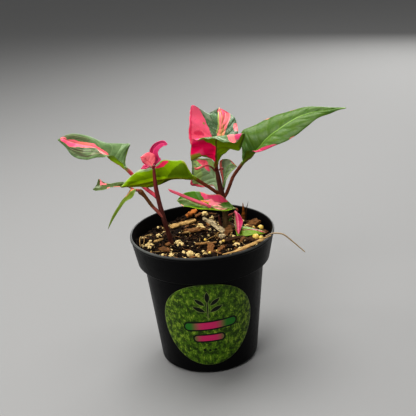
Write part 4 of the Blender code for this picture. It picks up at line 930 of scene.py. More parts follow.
# Each row of a blade is a point of the midrib, then how far its left and right margins lie from it, seen
# from the upper face with the tip ahead. The stalk runs from the stem to the first row. Each patch is
# outlines whose corners are (share of the blade's length, share of its half width, left below zero).
leaves = {
    "leaf_left_large": {
        "stalkRadius": 1.35, "bulge": (0.8, 0.8), "ripple": (0.5, 3.5), "veins": 10, "ribWidth": 0.1,
        "gloss": 0.15, "quilt": 0.0001, "pleat": 0.1,
        "stalkRoute": [(-29, -1, 121), (-35, 6, 123.5), (-39, 11.5, 125.5), (-43, 14, 130),
                       (-46.5, 14, 134.5)],
        "rows": [
            ((-49.5, 14, 138),), ((-52.5, 14, 140.5), (1.5, -1.5, 1.5), (3, 4, 2)),
            ((-55.5, 14.5, 142.5), (1.5, -4, 3.5), (7.5, 8.5, 5)),
            ((-59, 15, 145), (1.5, -5.5, 4), (13, 11, 7)),
            ((-62, 15.5, 148.5), (0, -7, 0.5), (11, 10.5, 4)),
            ((-70, 15, 154.5), (3, -9, -5), (7.5, 8, 0)), ((-79, 13, 158), (4.5, -9, -9), (5.5, 7, 3.5)),
            ((-85.5, 11, 161), (2.5, -6, -9), (2.5, 5, 3.5)),
            ((-89.5, 9.5, 163.5), (1, -1.5, -5.5), (0.5, 2.5, 1)), ((-92.5, 8, 163),),
        ],
        "patches": {
            "olive": [
                [(0.97, 0.55), (0.95, 1.0), (0.85, 0.92), (0.72, 0.85), (0.62, 0.62), (0.62, 0.34),
                 (0.7, 0.28), (0.8, 0.26), (0.88, 0.55)],
                [(0.86, -0.62), (0.7, -0.34), (0.58, -0.24), (0.54, -0.2), (0.5, -0.6), (0.44, -0.62),
                 (0.5, -0.86), (0.6, -0.9), (0.72, -0.84), (0.8, -0.86)],
            ],
            "pink": [
                [(0.95, 0.5), (0.89, 0.46), (0.81, 0.07), (0.75, 0.23), (0.68, 0.17), (0.59, 0.3),
                 (0.54, 0.14), (0.42, 0.05), (0.4, -0.3), (0.45, -0.5), (0.52, -0.56), (0.53, -0.1),
                 (0.57, -0.18), (0.7, -0.28), (0.84, -0.56), (0.94, -0.5)],
            ],
            "magenta": [
                [(0.93, 0.0), (0.84, -0.2), (0.72, -0.1), (0.7, -0.22), (0.84, -0.5), (0.94, -0.46)],
            ],
            "peach": [
                [(0.7, 0.13), (0.62, 0.24), (0.57, 0.12), (0.6, -0.02), (0.68, 0.0)],
                [(0.52, -0.5), (0.45, -0.42), (0.46, -0.2), (0.53, -0.2)],
            ],
            "cream": [
                [(0.05, 0.7), (0.14, 0.74), (0.26, 0.86), (0.31, 1.2), (0.05, 1.2)],
                [(1.05, -1.2), (0.975, -1.2), (0.975, 1.2), (1.05, 1.2)],
            ],
        },
        "tones": {
            "green": (0.115, 0.18, 0.07), "darkGreen": (0.075, 0.13, 0.045),
            "lightGreen": (0.27, 0.35, 0.17), "cream": (0.17, 0.28, 0.012), "olive": (0.06, 0.048, 0.028),
            "peach": (0.82, 0.22, 0.16), "streak": (0.26, 0.2, 0.12), "magenta": (0.92, 0.1, 0.19),
            "pink": (0.9, 0.155, 0.21), "under": (0.2, 0.33, 0.003), "underDark": (0.14, 0.23, 0.003),
            "stalk": (0.5, 0.035, 0.085), "stalkTop": (0.42, 0.05, 0.07), "ribTop": (0.085, 0.165, 0.045),
            "ribUnder": (0.52, 0.035, 0.095),
        },
    },
    "leaf_front_underside": {
        "stalkRadius": 1.2, "bulge": (-1.5, 0), "ripple": (0.3, 3), "veins": 8, "rimShow": 0.7,
        "gloss": 0.06,
        "stalkRoute": [(15.5, 19, 111), (8.5, 15, 118.5), (3.5, 13, 123), (-0.5, 11.5, 126.5)],
        "rows": [
            ((-3, 10, 129),), ((-6.5, 9.5, 129.5), (0.5, 2, 5), (0, 0.5, -1)),
            ((-10.5, 9, 130), (1, 3.5, 11), (-1, 1.5, -1.5)),
            ((-16.5, 8, 131), (1, 4.5, 10.5), (-2.5, 2.5, -2.5)),
            ((-24, 6.5, 131), (0, 4.5, 12), (-3.5, 4, -5.5)),
            ((-32.5, 5, 130.5), (0, 3, 10), (-2, 2.5, -5.5)),
            ((-40, 2, 130), (-0.5, 2.5, 8.5), (-0.5, 1.5, -2.5)),
            ((-47, -1, 130.5), (0, 1, 5), (0, 2, -2)), ((-52.5, -3.5, 130.5),),
        ],
        "patches": {
            # painted shade: the dark patch darkens the blade between its stalk and the fold
            "dark": [
                [(0.27, -0.88), (0.36, -0.68), (0.43, -0.33), (0.46, -0.06), (0.47, 0.5), (0.48, 1.1),
                 (0.1, 1.1), (0.02, -0.3), (0.1, -0.62), (0.2, -0.82)],
            ],
            "light": [
                [(0.76, -0.92), (0.68, -0.8), (0.62, -0.74), (0.57, -0.74), (0.53, -0.83), (0.5, -1.2),
                 (0.8, -1.2)],
            ],
            # painted light: the fleck patch brightens the outer half of the blade, towards its tip
            "fleck": [
                [(0.48, -0.12), (0.6, -0.22), (0.75, -0.28), (0.95, -0.2), (0.95, 1.1), (0.48, 1.1)],
            ],
            "pink": [
                [(0.5, -0.93), (0.44, -0.95), (0.46, -0.8), (0.49, -0.68), (0.55, -0.66), (0.59, -0.74),
                 (0.54, -0.85)],
            ],
            "cream": [
                [(0.73, 0.6), (0.64, 0.5), (0.57, 0.75), (0.55, 1.1), (0.72, 1.1)],
                [(0.28, -0.9), (0.16, -0.83), (0.08, -0.88), (0.05, -1.2), (0.28, -1.2)],
            ],
        },
        "tones": {
            # the under tone is partly the underside's own green and partly painted light shining through the
            # blade; underDark is also the painted shade of the dark patch, and fleck the painted light of the
            # fleck patch
            "under": (0.155, 0.26, 0.0003), "underDark": (0.068, 0.115, 0.0003),
            "pink": (0.66, 0.05, 0.13), "fleck": (0.27, 0.44, 0.0003), "green": (0.13, 0.23, 0.08),
            "lightUnder": (0.3, 0.36, 0.23), "cream": (0.24, 0.24, 0.03), "ribUnder": (0.17, 0.17, 0.008),
            "stalk": (0.17, 0.045, 0.02), "lightGreen": (0.3, 0.36, 0.15),
        },
    },
    "leaf_right_large": {
        "stalkRadius": 1.2, "bulge": (1.2, 1.2), "ripple": (0.5, 5), "veins": 12, "gloss": 0.16,
        "quilt": 0.00014, "pleat": 0.12, "paintedSheen": 0.3,
        "stalkRoute": [(16.5, 19, 109.5), (19, 19, 112.5), (21.5, 19, 118), (24.5, 20, 124.5),
                       (28.5, 20, 130)],
        "rows": [
            ((32, 20, 134.5),), ((35, 19.5, 137), (-3.5, 2, 2), (-2.5, -3, 3)),
            ((37.5, 19, 138.5), (-5.5, 4.5, 5.5), (-2.5, -5, 6)),
            ((40, 19, 141.5), (-7.5, 6.5, 7.5), (-1.5, -6, 3)),
            ((43.5, 18.5, 145), (-11, 8.5, 9.5), (-1.5, -6.5, -1.5)),
            ((50, 18, 152), (-11.5, 10, 5.5), (0.5, -8, -5)),
            ((59, 17, 158.5), (-9, 11, 3.5), (3.5, -8.5, -7)),
            ((70, 16, 165), (-7, 9.5, 2), (4, -8, -5.5)), ((81, 14, 168.5), (-6, 7, 2), (3.5, -5.5, -2.5)),
            ((91, 11.5, 170), (-2.5, 3.5, 1.5), (2.5, -2.5, -1)), ((102, 8, 171.5),),
        ],
        "patches": {
            "magenta": [
                [(0.29, 0.6), (0.36, 0.72), (0.44, 0.62), (0.52, 0.86), (0.56, 1.1), (0.28, 1.1)],
            ],
            "pink": [
                [(0.37, 0.86), (0.44, 0.76), (0.5, 0.92), (0.5, 1.1), (0.36, 1.1)],
            ],
            "salmon": [
                [(0.76, -0.95), (0.73, -0.92), (0.72, -1.1), (0.77, -1.1)],
                [(0.64, 0.96), (0.61, 0.97), (0.61, 1.1), (0.64, 1.1)],
                [(0.62, -0.97), (0.6, -0.95), (0.58, -1.1), (0.63, -1.1)],
            ],
            # painted shade: the dark patch darkens the fold at the base of the blade's left half
            "dark": [
                [(0.02, -0.3), (0.12, -0.7), (0.32, -1.1), (0.4, -0.6), (0.3, 0.0), (0.1, 0.2)],
            ],
        },
        "tones": {
            "green": (0.056, 0.108, 0.009), "darkGreen": (0.048, 0.105, 0.016),
            "lightGreen": (0.11, 0.18, 0.025), "magenta": (0.46, 0.02, 0.09), "pink": (0.72, 0.16, 0.2),
            "under": (0.11, 0.18, 0.006), "underDark": (0.07, 0.12, 0.004), "ribTop": (0.22, 0.36, 0.08),
            "ribUnder": (0.14, 0.08, 0.01), "stalk": (0.12, 0.028, 0.012),
        },
    },
    "leaf_top_back": {
        "stalkRadius": 0.8, "bulge": (-1, -1), "ripple": (0.5, 4), "veins": 8, "rimShow": 0.15,
        "gloss": 0.6, "quilt": 0.0002, "pleat": 0.18, "paintedSheen": 0.8,
        "stalkRoute": [(13, 18.5, 132), (14, 21, 134.5)],
        "rows": [
            ((14, 22, 137),), ((15, 24, 141), (-6.5, -2, -0.5), (3.5, 0.5, -0.5)),
            ((16, 26, 146), (-18, -5, 1), (8.5, 1, -1)), ((17, 27.5, 150), (-21.5, -6, 4.5), (11.5, 1, 0)),
            ((17.5, 29, 153.5), (-21.5, -6, 8.5), (12.5, 1, 2)),
            ((18.5, 30, 156.5), (-21.5, -4.5, 13), (11, 2, 4)),
            ((19, 31, 160), (-19.5, -3.5, 16), (8.5, 3, 4.5)),
            ((19.5, 33.5, 165.5), (-11, -2.5, 3.5), (3.5, 2, 2.5)), ((18, 37, 170.5),),
        ],
        "patches": {
            "salmon": [
                [(1.02, -0.5), (0.9, -0.2), (0.79, -0.13), (0.71, -0.08), (0.62, -0.08), (0.46, -0.1),
                 (0.3, -0.08), (0.3, 0.12), (0.46, 0.25), (0.58, 0.32), (0.66, 0.46), (0.72, 0.62),
                 (0.79, 0.92), (0.86, 1.2), (1.02, 1.2)],
                [(0.63, 0.82), (0.6, 1.2), (0.46, 1.2), (0.49, 0.85), (0.55, 0.76)],
            ],
            "pink": [
                [(0.84, -1.2), (0.78, -0.8), (0.73, -0.68), (0.67, -0.52), (0.56, -0.38), (0.42, -0.25),
                 (0.25, -0.22), (0.15, -1.2)],
                [(0.98, -0.5), (0.86, 0.0), (0.86, 0.6), (1.0, 0.7)],
            ],
            "magenta": [
                [(0.76, -0.97), (0.6, -0.93), (0.46, -0.92), (0.3, -0.9), (0.3, -1.2), (0.76, -1.2)],
                [(0.46, -0.82), (0.49, -0.66), (0.46, -0.5), (0.43, -0.5), (0.42, -0.68), (0.43, -0.84)],
                [(0.99, 0.6), (0.91, 0.82), (0.85, 0.85), (0.79, 1.2), (1.0, 1.2)],
                [(0.97, -0.5), (0.94, -0.4), (0.95, 0.4), (0.98, 0.4)],
            ],
            "peach": [
                [(0.62, -0.05), (0.46, -0.08), (0.3, -0.07), (0.3, 0.12), (0.46, 0.24), (0.56, 0.28),
                 (0.6, 0.2)],
            ],
            "cream": [
                [(0.95, -0.32), (0.8, -0.17), (0.71, -0.12), (0.5, -0.14), (0.5, -0.1), (0.71, -0.07),
                 (0.8, -0.11), (0.95, -0.22)],
            ],
            "fleck": [
                [(0.73, 0.1), (0.72, 0.24), (0.6, 0.16), (0.46, 0.11), (0.33, 0.06), (0.33, 0.0),
                 (0.46, 0.02), (0.6, 0.06)],
                [(0.61, -0.5), (0.62, -0.56), (0.59, -0.58), (0.58, -0.5)],
            ],
            "light": [
                [(1.0, -0.9), (0.86, -0.6), (0.7, -0.3), (0.7, -0.5), (0.8, -0.85)],
            ],
        },
        "tones": {
            "green": (0.1, 0.195, 0.078), "darkGreen": (0.04, 0.1, 0.038), "pink": (0.92, 0.135, 0.235),
            "salmon": (0.92, 0.21, 0.22), "magenta": (0.62, 0.03, 0.1), "lightGreen": (0.3, 0.38, 0.26),
            "peach": (0.84, 0.36, 0.17), "cream": (0.42, 0.48, 0.13), "fleck": (0.3, 0.26, 0.05),
            "ribTop": (0.6, 0.3, 0.1),
        },
    },
    "leaf_top_front": {
        "stalkRadius": 1.15, "ripple": (0.6, 6), "veins": 8, "ribWidth": 0.35, "gloss": 0.12,
        "stalkRoute": [(13, 18.5, 131.5), (13, 17, 133.5)],
        "rows": [
            ((12.5, 16.5, 134.5),), ((13, 14, 139.5), (2, 1, -1), (-1.5, 1.5, -1)),
            ((13, 11, 144.5), (5.5, 1.5, -0.5), (-9, 1.5, -1)),
            ((13.5, 8, 150), (10.5, 1, -2), (-17.5, 1.5, -8)),
            ((13.5, 4, 156), (16.5, 2, -7.5), (-17, 1, -4)),
            ((14, 0, 160), (19, 2.5, 0.5), (-16.5, 0, -1.5)),
            ((14, -3, 161), (13.5, -1, -4), (-12, -2, -0.5)),
            ((13.5, -6, 161.5), (7.5, -2, -4), (-6, -2, 0)), ((12.5, -9.5, 161.5),),
        ],
        "patches": {
            "pink": [
                [(0.08, 0.05), (0.42, 0.02), (0.45, 0.12), (0.52, 0.32), (0.56, 0.42), (0.62, 0.55),
                 (0.7, 0.9), (0.7, 1.2), (0.1, 1.2), (0.12, 0.4)],
            ],
            "salmon": [
                [(0.68, -0.4), (0.64, -0.62), (0.7, -0.72), (0.76, -1.0), (0.82, -0.9), (0.75, -0.55)],
            ],
            "magenta": [
                [(0.63, -0.8), (0.68, -0.68), (0.73, -0.82), (0.75, -1.0), (0.69, -0.98), (0.64, -0.92)],
            ],
            "peach": [
                [(0.43, 0.82), (0.45, 0.65), (0.46, 0.54), (0.4, 0.48), (0.36, 0.46), (0.4, 0.66)],
                [(0.57, 0.95), (0.59, 0.83), (0.58, 0.62), (0.56, 0.48), (0.63, 0.56), (0.72, 0.9),
                 (0.72, 1.2), (0.57, 1.2)],
            ],
            "cream": [
                [(0.45, 1.2), (0.43, 0.95), (0.43, 0.83), (0.42, 0.65), (0.33, 0.5), (0.24, 0.7),
                 (0.19, 0.85), (0.14, 1.2)],
            ],
            "dark": [
                [(0.1, -0.1), (0.45, -0.15), (0.6, -0.3), (0.66, -0.6), (0.62, -1.2), (0.1, -1.2)],
            ],
            "fleck": [
                [(0.5, -1.2), (0.5, -0.9), (0.6, -0.93), (0.66, -0.96), (0.72, -1.02), (0.74, -1.2)],
            ],
        },
        "tones": {
            "green": (0.11, 0.17, 0.075), "darkGreen": (0.08, 0.13, 0.05), "under": (0.25, 0.38, 0.006),
            "underDark": (0.2, 0.31, 0.003), "pink": (1.0, 0.006, 0.14), "magenta": (0.95, 0.003, 0.1),
            "peach": (0.92, 0.07, 0.19), "cream": (0.17, 0.27, 0.012), "ribUnder": (0.13, 0.012, 0.012),
            "ribTop": (0.16, 0.2, 0.08), "stalk": (0.12, 0.014, 0.012), "salmon": (0.62, 0.16, 0.16),
            "blush": (0.46, 0.03, 0.11), "fleck": (0.07, 0.12, 0.006),
        },
    },
    "leaf_low_left": {
        "stalkRadius": 0.8, "bulge": (-1, -1), "ripple": (0.4, 4), "veins": 8,
        "stalkRoute": [(15.5, 19, 112), (14, 22, 113.5)],
        "rows": [
            ((13, 23, 114.5),), ((12.5, 24, 119.5), (-3, 0, -2), (1.5, 0, 2)),
            ((11, 25, 124), (-8, 0, -7.5), (2.5, -0.5, 3.5)),
            ((7, 26, 127.5), (-10, 1, -10.5), (5.5, -1.5, 5.5)),
            ((2.5, 27, 130.5), (-8.5, 1, -12), (7.5, -2, 6.5)),
            ((-0.5, 28, 132), (-4, 1, -6.5), (4.5, -1.5, 5.5)),
            ((-2.5, 28.5, 134), (-1.5, 0.5, -2.5), (2.5, -1, 3.5)), ((-4, 28, 136.5),),
        ],
        "patches": {
            "light": [
                [(0.64, 0.83), (0.57, 0.85), (0.45, 0.95), (0.38, 0.73), (0.49, 0.48)],
                [(0.75, 0.53), (0.65, 0.1), (0.46, -0.3), (0.38, -0.9), (0.53, -0.85), (0.8, -0.5),
                 (0.95, 0.1)],
            ],
            "pink": [
                [(0.84, 0.53), (0.78, 0.83), (0.64, 0.78), (0.49, 0.38), (0.41, 0.2), (0.42, 0.03),
                 (0.53, 0.12), (0.65, 0.23)],
            ],
            "magenta": [
                [(0.7, -0.9), (0.58, -0.84), (0.5, -0.88), (0.4, -0.86), (0.3, -0.9), (0.2, -0.84),
                 (0.08, -0.9), (0.05, -1.2), (0.7, -1.2)],
            ],
        },
        "tones": {
            "green": (0.28, 0.39, 0.21), "darkGreen": (0.2, 0.3, 0.14), "lightGreen": (0.34, 0.5, 0.14),
            "magenta": (0.66, 0.03, 0.1), "pink": (0.95, 0.13, 0.2), "ribTop": (0.28, 0.36, 0.2),
            "stalk": (0.1, 0.028, 0.012),
        },
    },
    "leaf_low_right": {
        "stalkRadius": 0.8, "bulge": (-0.5, -0.5), "ripple": (0.2, 3), "veins": 6, "gloss": 0.12,
        "stalkRoute": [(15.5, 19, 113), (17, 22, 114.5)],
        "rows": [
            ((17.5, 22.5, 116.5),), ((18.5, 23.5, 122), (-2, 0, 1), (1, -0.5, -1)),
            ((20, 25, 127), (-4.5, 0, 2), (2, -1, -2)), ((21.5, 26.5, 130), (-5, 0.5, 5), (3, -1.5, -2.5)),
            ((24.5, 27.5, 131), (-1.5, 1.5, 3.5), (1.5, -1, -3)), ((28, 28, 129.5),),
        ],
        "patches": {
            "salmon": [
                [(0.05, -1.2), (0.05, -0.3), (0.28, -0.5), (0.42, -0.56), (0.55, -0.76), (0.64, -0.9),
                 (0.66, -1.2)],
            ],
            "pink": [
                [(0.78, -1.2), (0.84, -0.5), (0.88, 0.1), (0.9, 0.6), (0.94, 0.6), (1.02, 0.2),
                 (1.02, -0.5)],
            ],
            "light": [
                [(0.2, 0.85), (0.5, 0.8), (0.85, 0.7), (0.95, 1.2), (0.2, 1.2)],
            ],
        },
        "tones": {
            "green": (0.28, 0.35, 0.21), "darkGreen": (0.2, 0.27, 0.14), "stalk": (0.14, 0.05, 0.02),
            "lightGreen": (0.28, 0.4, 0.12),
        },
    },
    "leaf_lower_front": {
        "stalkRadius": 0.65, "bulge": (-1.6, -1), "ripple": (0.3, 3), "veins": 9, "rimShow": 0.35,
        "gloss": 0.15,
        "stalkRoute": [(17.5, 19, 95.5), (21, 18, 97), (25, 17, 98.5), (26, 16, 101)],
        "rows": [
            ((24, 15, 102.5),), ((20.5, 13, 104), (1, -1.5, -1), (1.5, 2, 2)),
            ((16.5, 11.5, 105), (0.5, -3, -1.5), (2, 3.5, 4.5)),
            ((11, 10.5, 106.5), (0.5, -4, -1.5), (3, 3.5, 7.5)),
            ((5, 10, 107), (0, -4, -0.5), (1.5, 4.5, 7.5)), ((-1, 10, 108.5), (-1, -4, -1), (2.5, 7, 7)),
            ((-6.5, 10.5, 111), (-1.5, -4, -2), (1.5, 7.5, 5.5)),
            ((-11, 10.5, 113.5), (-1.5, -2.5, -3.5), (0, 5.5, 2.5)), ((-16, 11, 113),),
        ],
        "patches": {
            "dark": [
                [(1.02, 0.2), (0.8, 0.3), (0.66, 0.26), (0.58, 0.42), (0.56, 0.8), (0.6, 1.2), (1.02, 1.2)],
            ],
            "light": [
                [(0.95, -1.2), (0.88, -0.95), (0.74, -0.6), (0.6, -0.36), (0.46, -0.2), (0.4, -0.3),
                 (0.36, -0.56), (0.28, -0.52), (0.17, -0.2), (0.05, -0.3), (0.05, -1.2)],
            ],
            "salmon": [
                [(0.44, 0.07), (0.38, 0.22), (0.33, 0.2), (0.24, 0.0), (0.17, -0.15), (0.28, -0.5),
                 (0.36, -0.55), (0.41, -0.2)],
                [(0.92, -0.75), (0.92, -1.2), (0.84, -1.2), (0.84, -0.85)],
            ],
            "pink": [
                [(0.6, 0.4), (0.52, 0.6), (0.46, 0.72), (0.41, 0.4), (0.36, 0.4), (0.31, 0.34),
                 (0.38, 0.18), (0.46, 0.1), (0.51, 0.35)],
            ],
            "magenta": [
                [(0.68, 1.2), (0.62, 0.8), (0.55, 0.58), (0.46, 0.72), (0.41, 0.42), (0.35, 0.42),
                 (0.28, 0.6), (0.22, 0.9), (0.2, 1.2)],
            ],
            "cream": [
                [(0.61, -0.02), (0.61, 0.46), (0.47, 0.5), (0.47, 0.4), (0.56, 0.36), (0.58, 0.04)],
            ],
            "fleck": [
                [(0.58, 0.04), (0.56, 0.36), (0.49, 0.4), (0.48, 0.06), (0.55, -0.02)],
            ],
        },
        "tones": {
            "green": (0.16, 0.23, 0.085), "darkGreen": (0.045, 0.125, 0.006),
            "lightGreen": (0.22, 0.38, 0.012), "under": (0.15, 0.28, 0.008), "pink": (0.95, 0.26, 0.31),
            "magenta": (0.62, 0.045, 0.13), "salmon": (0.98, 0.4, 0.35), "cream": (0.72, 0.27, 0.05),
            "fleck": (0.2, 0.33, 0.012), "ribTop": (0.3, 0.36, 0.14), "stalk": (0.4, 0.1, 0.06),
        },
    },
    "leaf_furled": {
        "stalkRadius": 0.9, "veins": 3, "rimShow": 0.0, "slot": "leaf_pink",
        "stalkRoute": [(7, 8, 107.5), (5.5, 7.5, 108.5)],
        "rows": [
            ((4.5, 7, 109.5),), ((-1.5, 6, 112.5), (0, 0.5, -1), (0, 0.5, 1)),
            ((-8, 6, 116), (0, 0, -1), (0, 0, 1)), ((-15, 5, 120), (0, 0, -1), (0.5, 0, 1)),
            ((-20, 4.5, 123), (0, 0, -1), (0.5, 0, 0.5)), ((-21, 4.5, 124),),
        ],
        "patches": {
            "cream": [
                [(0.92, -1.2), (1.1, -1.2), (1.1, 1.2), (0.92, 1.2)],
            ],
            # painted shade: the magenta patch darkens the rolled leaf's lower side
            "magenta": [
                [(-0.1, -1.2), (-0.1, -0.4), (0.4, -0.2), (0.85, -0.5), (0.85, -1.2)],
            ],
        },
        "tones": {
            "green": (0.9, 0.16, 0.26), "darkGreen": (0.82, 0.1, 0.18), "lightGreen": (0.92, 0.24, 0.3),
            "under": (0.66, 0.04, 0.11), "underDark": (0.5, 0.02, 0.06), "ribTop": (0.88, 0.16, 0.22),
            "magenta": (0.66, 0.035, 0.11), "ribUnder": (0.5, 0.02, 0.06), "stalk": (0.8, 0.12, 0.2),
            "cream": (0.68, 0.42, 0.22),
        },
    },
    "leaf_droop": {
        "stalkRadius": 0.7, "veins": 5,
        "stalkRoute": [(-40, -4.5, 127.5), (-41, -6, 128.5)],
        "rows": [
            ((-42.5, -6.5, 129),), ((-45, -7, 128), (-1, 3.5, 0.5), (1.5, -2.5, -1)),
            ((-47, -6.5, 126), (-2, 4, -1.5), (1.5, -3.5, -1.5)),
            ((-51, -6, 121.5), (-2, 3, -1), (1, -3.5, 0.5)),
            ((-56, -5.5, 116), (-0.5, 2.5, -0.5), (1.5, -2, 0)),
            ((-60, -5, 110), (-0.5, 1, -0.5), (1, -1, -0.5)), ((-64, -4.5, 101.5),),
        ],
        "patches": {
            "salmon": [
                [(-0.1, -1.2), (-0.1, 0.1), (0.14, -0.05), (0.3, -0.05), (0.44, -0.42), (0.36, -0.6),
                 (0.2, -0.6), (0.08, -1.2)],
                [(0.3, -0.8), (0.45, -0.9), (0.6, -1.2), (0.2, -1.2)],
            ],
        },
        "tones": {
            "green": (0.078, 0.125, 0.006), "darkGreen": (0.05, 0.09, 0.006), "under": (0.1, 0.15, 0.004),
            "underDark": (0.06, 0.09, 0.003), "ribUnder": (0.14, 0.19, 0.02), "stalk": (0.45, 0.1, 0.06),
            "salmon": (0.72, 0.16, 0.12),
        },
    },
    "leaf_far_left": {
        "stalkRadius": 0.8, "veins": 6,
        "stalkRoute": [(-40.5, -4.5, 127.5), (-44, 0.5, 126.5), (-46.5, 4, 127)],
        "rows": [
            ((-48.5, 5.5, 128),), ((-51, 5, 129.5), (0, 3.5, 0.5), (0, -2, -1.5)),
            ((-55.5, 3, 130.5), (-0.5, 4.5, 0), (0.5, -2.5, -1)),
            ((-60, 2, 130), (-0.5, 4, 0.5), (0.5, -3, 0)),
            ((-65, 1.5, 129.5), (0, 5.5, 2), (1, -3.5, -0.5)),
            ((-68, 1.5, 129), (0, 5.5, 5), (0, -2.5, -0.5)),
            ((-70.5, 1.5, 129), (1, 2, 2), (0.5, -1.5, -1)), ((-72, 1, 128.5),),
        ],
        "patches": {
            "light": [
                [(0.0, -0.72), (0.34, -0.8), (0.5, -0.72), (0.62, -0.5), (0.66, -0.2), (0.58, 0.0),
                 (0.7, 0.2), (0.95, 0.0), (1.0, -0.4), (0.86, -0.4), (0.72, -0.2), (0.6, -0.6),
                 (0.5, -0.95), (0.3, -1.2), (0.0, -1.2)],
            ],
            "pink": [
                [(0.72, -1.2), (0.7, -0.9), (0.66, -0.3), (0.5, -0.5), (0.5, -0.68), (0.6, -0.82),
                 (0.66, -1.2)],
                [(0.36, 0.86), (0.24, 0.8), (0.24, 1.2), (0.4, 1.2)],
                [(0.5, 0.7), (0.44, 0.7), (0.44, 1.2), (0.52, 1.2)],
            ],
        },
        "tones": {
            "green": (0.14, 0.22, 0.08), "under": (0.05, 0.08, 0.004), "underDark": (0.03, 0.055, 0.003),
            "lightUnder": (0.25, 0.3, 0.18), "ribUnder": (0.05, 0.085, 0.01), "magenta": (0.8, 0.2, 0.2),
            "stalk": (0.3, 0.05, 0.04),
        },
    },
    "leaf_young_salmon": {
        "stalkRadius": 0.6, "veins": 5, "quilt": 0.0001, "pleat": 0.08, "slot": "leaf_pink",
        "stalkRoute": [(-30, 0.5, 141), (-30, -0.5, 142.5)],
        "rows": [
            ((-30.5, -1, 143.5),), ((-31.5, -1, 145.5), (-0.5, -0.5, -2), (3.5, 1.5, 0.5)),
            ((-33.5, -1.5, 147.5), (-1.5, -1, -2.5), (5.5, 2.5, 2.5)),
            ((-35, -2.5, 149.5), (-1.5, -1, -2.5), (2.5, 2.5, 3)), ((-37.5, -3.5, 150.5),),
        ],
        "patches": {
            "magenta": [
                [(0.1, -1.2), (0.5, -0.75), (0.9, -0.8), (0.9, -1.2)],
                [(0.2, 0.9), (0.5, 0.85), (0.5, 1.2), (0.2, 1.2)],
            ],
        },
        "tones": {
            "green": (0.95, 0.19, 0.22), "darkGreen": (0.92, 0.14, 0.18), "lightGreen": (0.97, 0.32, 0.28),
            "under": (0.6, 0.04, 0.09), "underDark": (0.4, 0.02, 0.05), "ribTop": (0.85, 0.1, 0.14),
            "ribUnder": (0.5, 0.03, 0.07), "stalk": (0.3, 0.03, 0.04), "magenta": (0.66, 0.03, 0.09),
            "rim": (0.8, 0.07, 0.13),
        },
    },
    "leaf_young_curled": {
        "stalkRadius": 0.55, "veins": 5, "quilt": 0.0001, "pleat": 0.08, "slot": "leaf_pink",
        "stalkRoute": [(-29.5, 0.5, 141), (-29, 2, 141.5)],
        "rows": [
            ((-29, 3, 142),), ((-29, 4.5, 145), (-2, -1, 1), (4.5, -1.5, 0.5)),
            ((-29, 5, 148), (-2, -1.5, 1), (3.5, -2, 0)),
            ((-29.5, 5, 151.5), (-2, -1.5, 1), (3.5, -2, -0.5)),
            ((-27.5, 4.5, 154.5), (-1.5, -1.5, 2), (3, -2, -1)),
            ((-24, 3.5, 157), (-1, -1.5, 2), (2, -2, -1.5)), ((-21, 2, 157.5), (0, -1, 2), (1, -1, -1.5)),
            ((-19, 0.5, 157),),
        ],
        "patches": {
            "peach": [
                [(0.2, -0.5), (0.6, -0.4), (0.95, -0.3), (0.95, 0.3), (0.5, 0.2), (0.2, 0.1)],
            ],
        },
        "tones": {
            "green": (0.68, 0.045, 0.17), "darkGreen": (0.55, 0.025, 0.12),
            "lightGreen": (0.78, 0.14, 0.28), "under": (0.62, 0.03, 0.13), "underDark": (0.4, 0.018, 0.08),
            "ribTop": (0.7, 0.06, 0.2), "ribUnder": (0.4, 0.02, 0.09), "stalk": (0.25, 0.02, 0.03),
            "peach": (0.84, 0.1, 0.25), "rim": (0.84, 0.14, 0.3),
        },
    },
    "leaf_young_magenta": {
        "stalkRadius": 0.5, "veins": 3, "slot": "leaf_pink",
        "stalkRoute": [(-30, 0.5, 141), (-31, 2.5, 141)],
        "rows": [
            ((-32.5, 3, 141.5),), ((-34.5, 3, 141.5), (0, -1, -1), (0.5, 1, 1)),
            ((-36, 2.5, 141.5), (-0.5, -1, -1), (0, 1.5, 1.5)), ((-38.5, 2, 140.5),),
        ],
        "tones": {
            "green": (0.5, 0.03, 0.1), "darkGreen": (0.36, 0.02, 0.07), "lightGreen": (0.62, 0.09, 0.18),
            "under": (0.42, 0.02, 0.09), "underDark": (0.3, 0.01, 0.05), "ribTop": (0.4, 0.02, 0.08),
            "ribUnder": (0.3, 0.02, 0.06), "stalk": (0.22, 0.02, 0.03), "rim": (0.6, 0.06, 0.14),
        },
    },
    "leaf_hanging_magenta": {
        "stalkRadius": 0.6, "veins": 5, "slot": "leaf_pink",
        "stalkRoute": [(17.5, 19, 93.5), (21, 14, 97), (23, 11, 100)],
        "rows": [
            ((24, 9.5, 102.5),), ((25, 6.5, 101), (-1.5, 1.5, -1), (2, 0, 0)),
            ((25.5, 2.5, 97.5), (-2.5, 2, -1), (3.5, 1, -0.5)),
            ((25, -4, 94.5), (-1.5, 2, -1.5), (2, 0.5, 0)), ((25, -8, 92),),
        ],
        "patches": {
            "light": [
                [(0.0, -0.55), (0.4, -0.5), (0.75, -0.35), (0.8, -1.2), (0.0, -1.2)],
            ],
        },
        "tones": {
            "green": (0.52, 0.02, 0.1), "darkGreen": (0.36, 0.012, 0.07), "lightGreen": (0.16, 0.2, 0.07),
            "under": (0.52, 0.01, 0.1), "underDark": (0.36, 0.008, 0.07), "lightUnder": (0.13, 0.18, 0.06),
            "ribTop": (0.4, 0.02, 0.08), "ribUnder": (0.55, 0.12, 0.16), "stalk": (0.06, 0.03, 0.012),
            "rim": (0.4, 0.28, 0.14),
        },
    },
    "leaf_ground_green": {
        "stalkRadius": 0.6, "veins": 6,
        "stalkRoute": [(17, 19, 89.5), (20, 13.5, 92), (22, 8, 93), (23.5, 4, 92.5)],
        "rows": [
            ((23.5, 3, 91),), ((25, 1, 92), (0, 3.5, 2.5), (-1, -4.5, -3.5)),
            ((28, -1.5, 92.5), (0.5, 4.5, 1), (-1, -4, -3.5)),
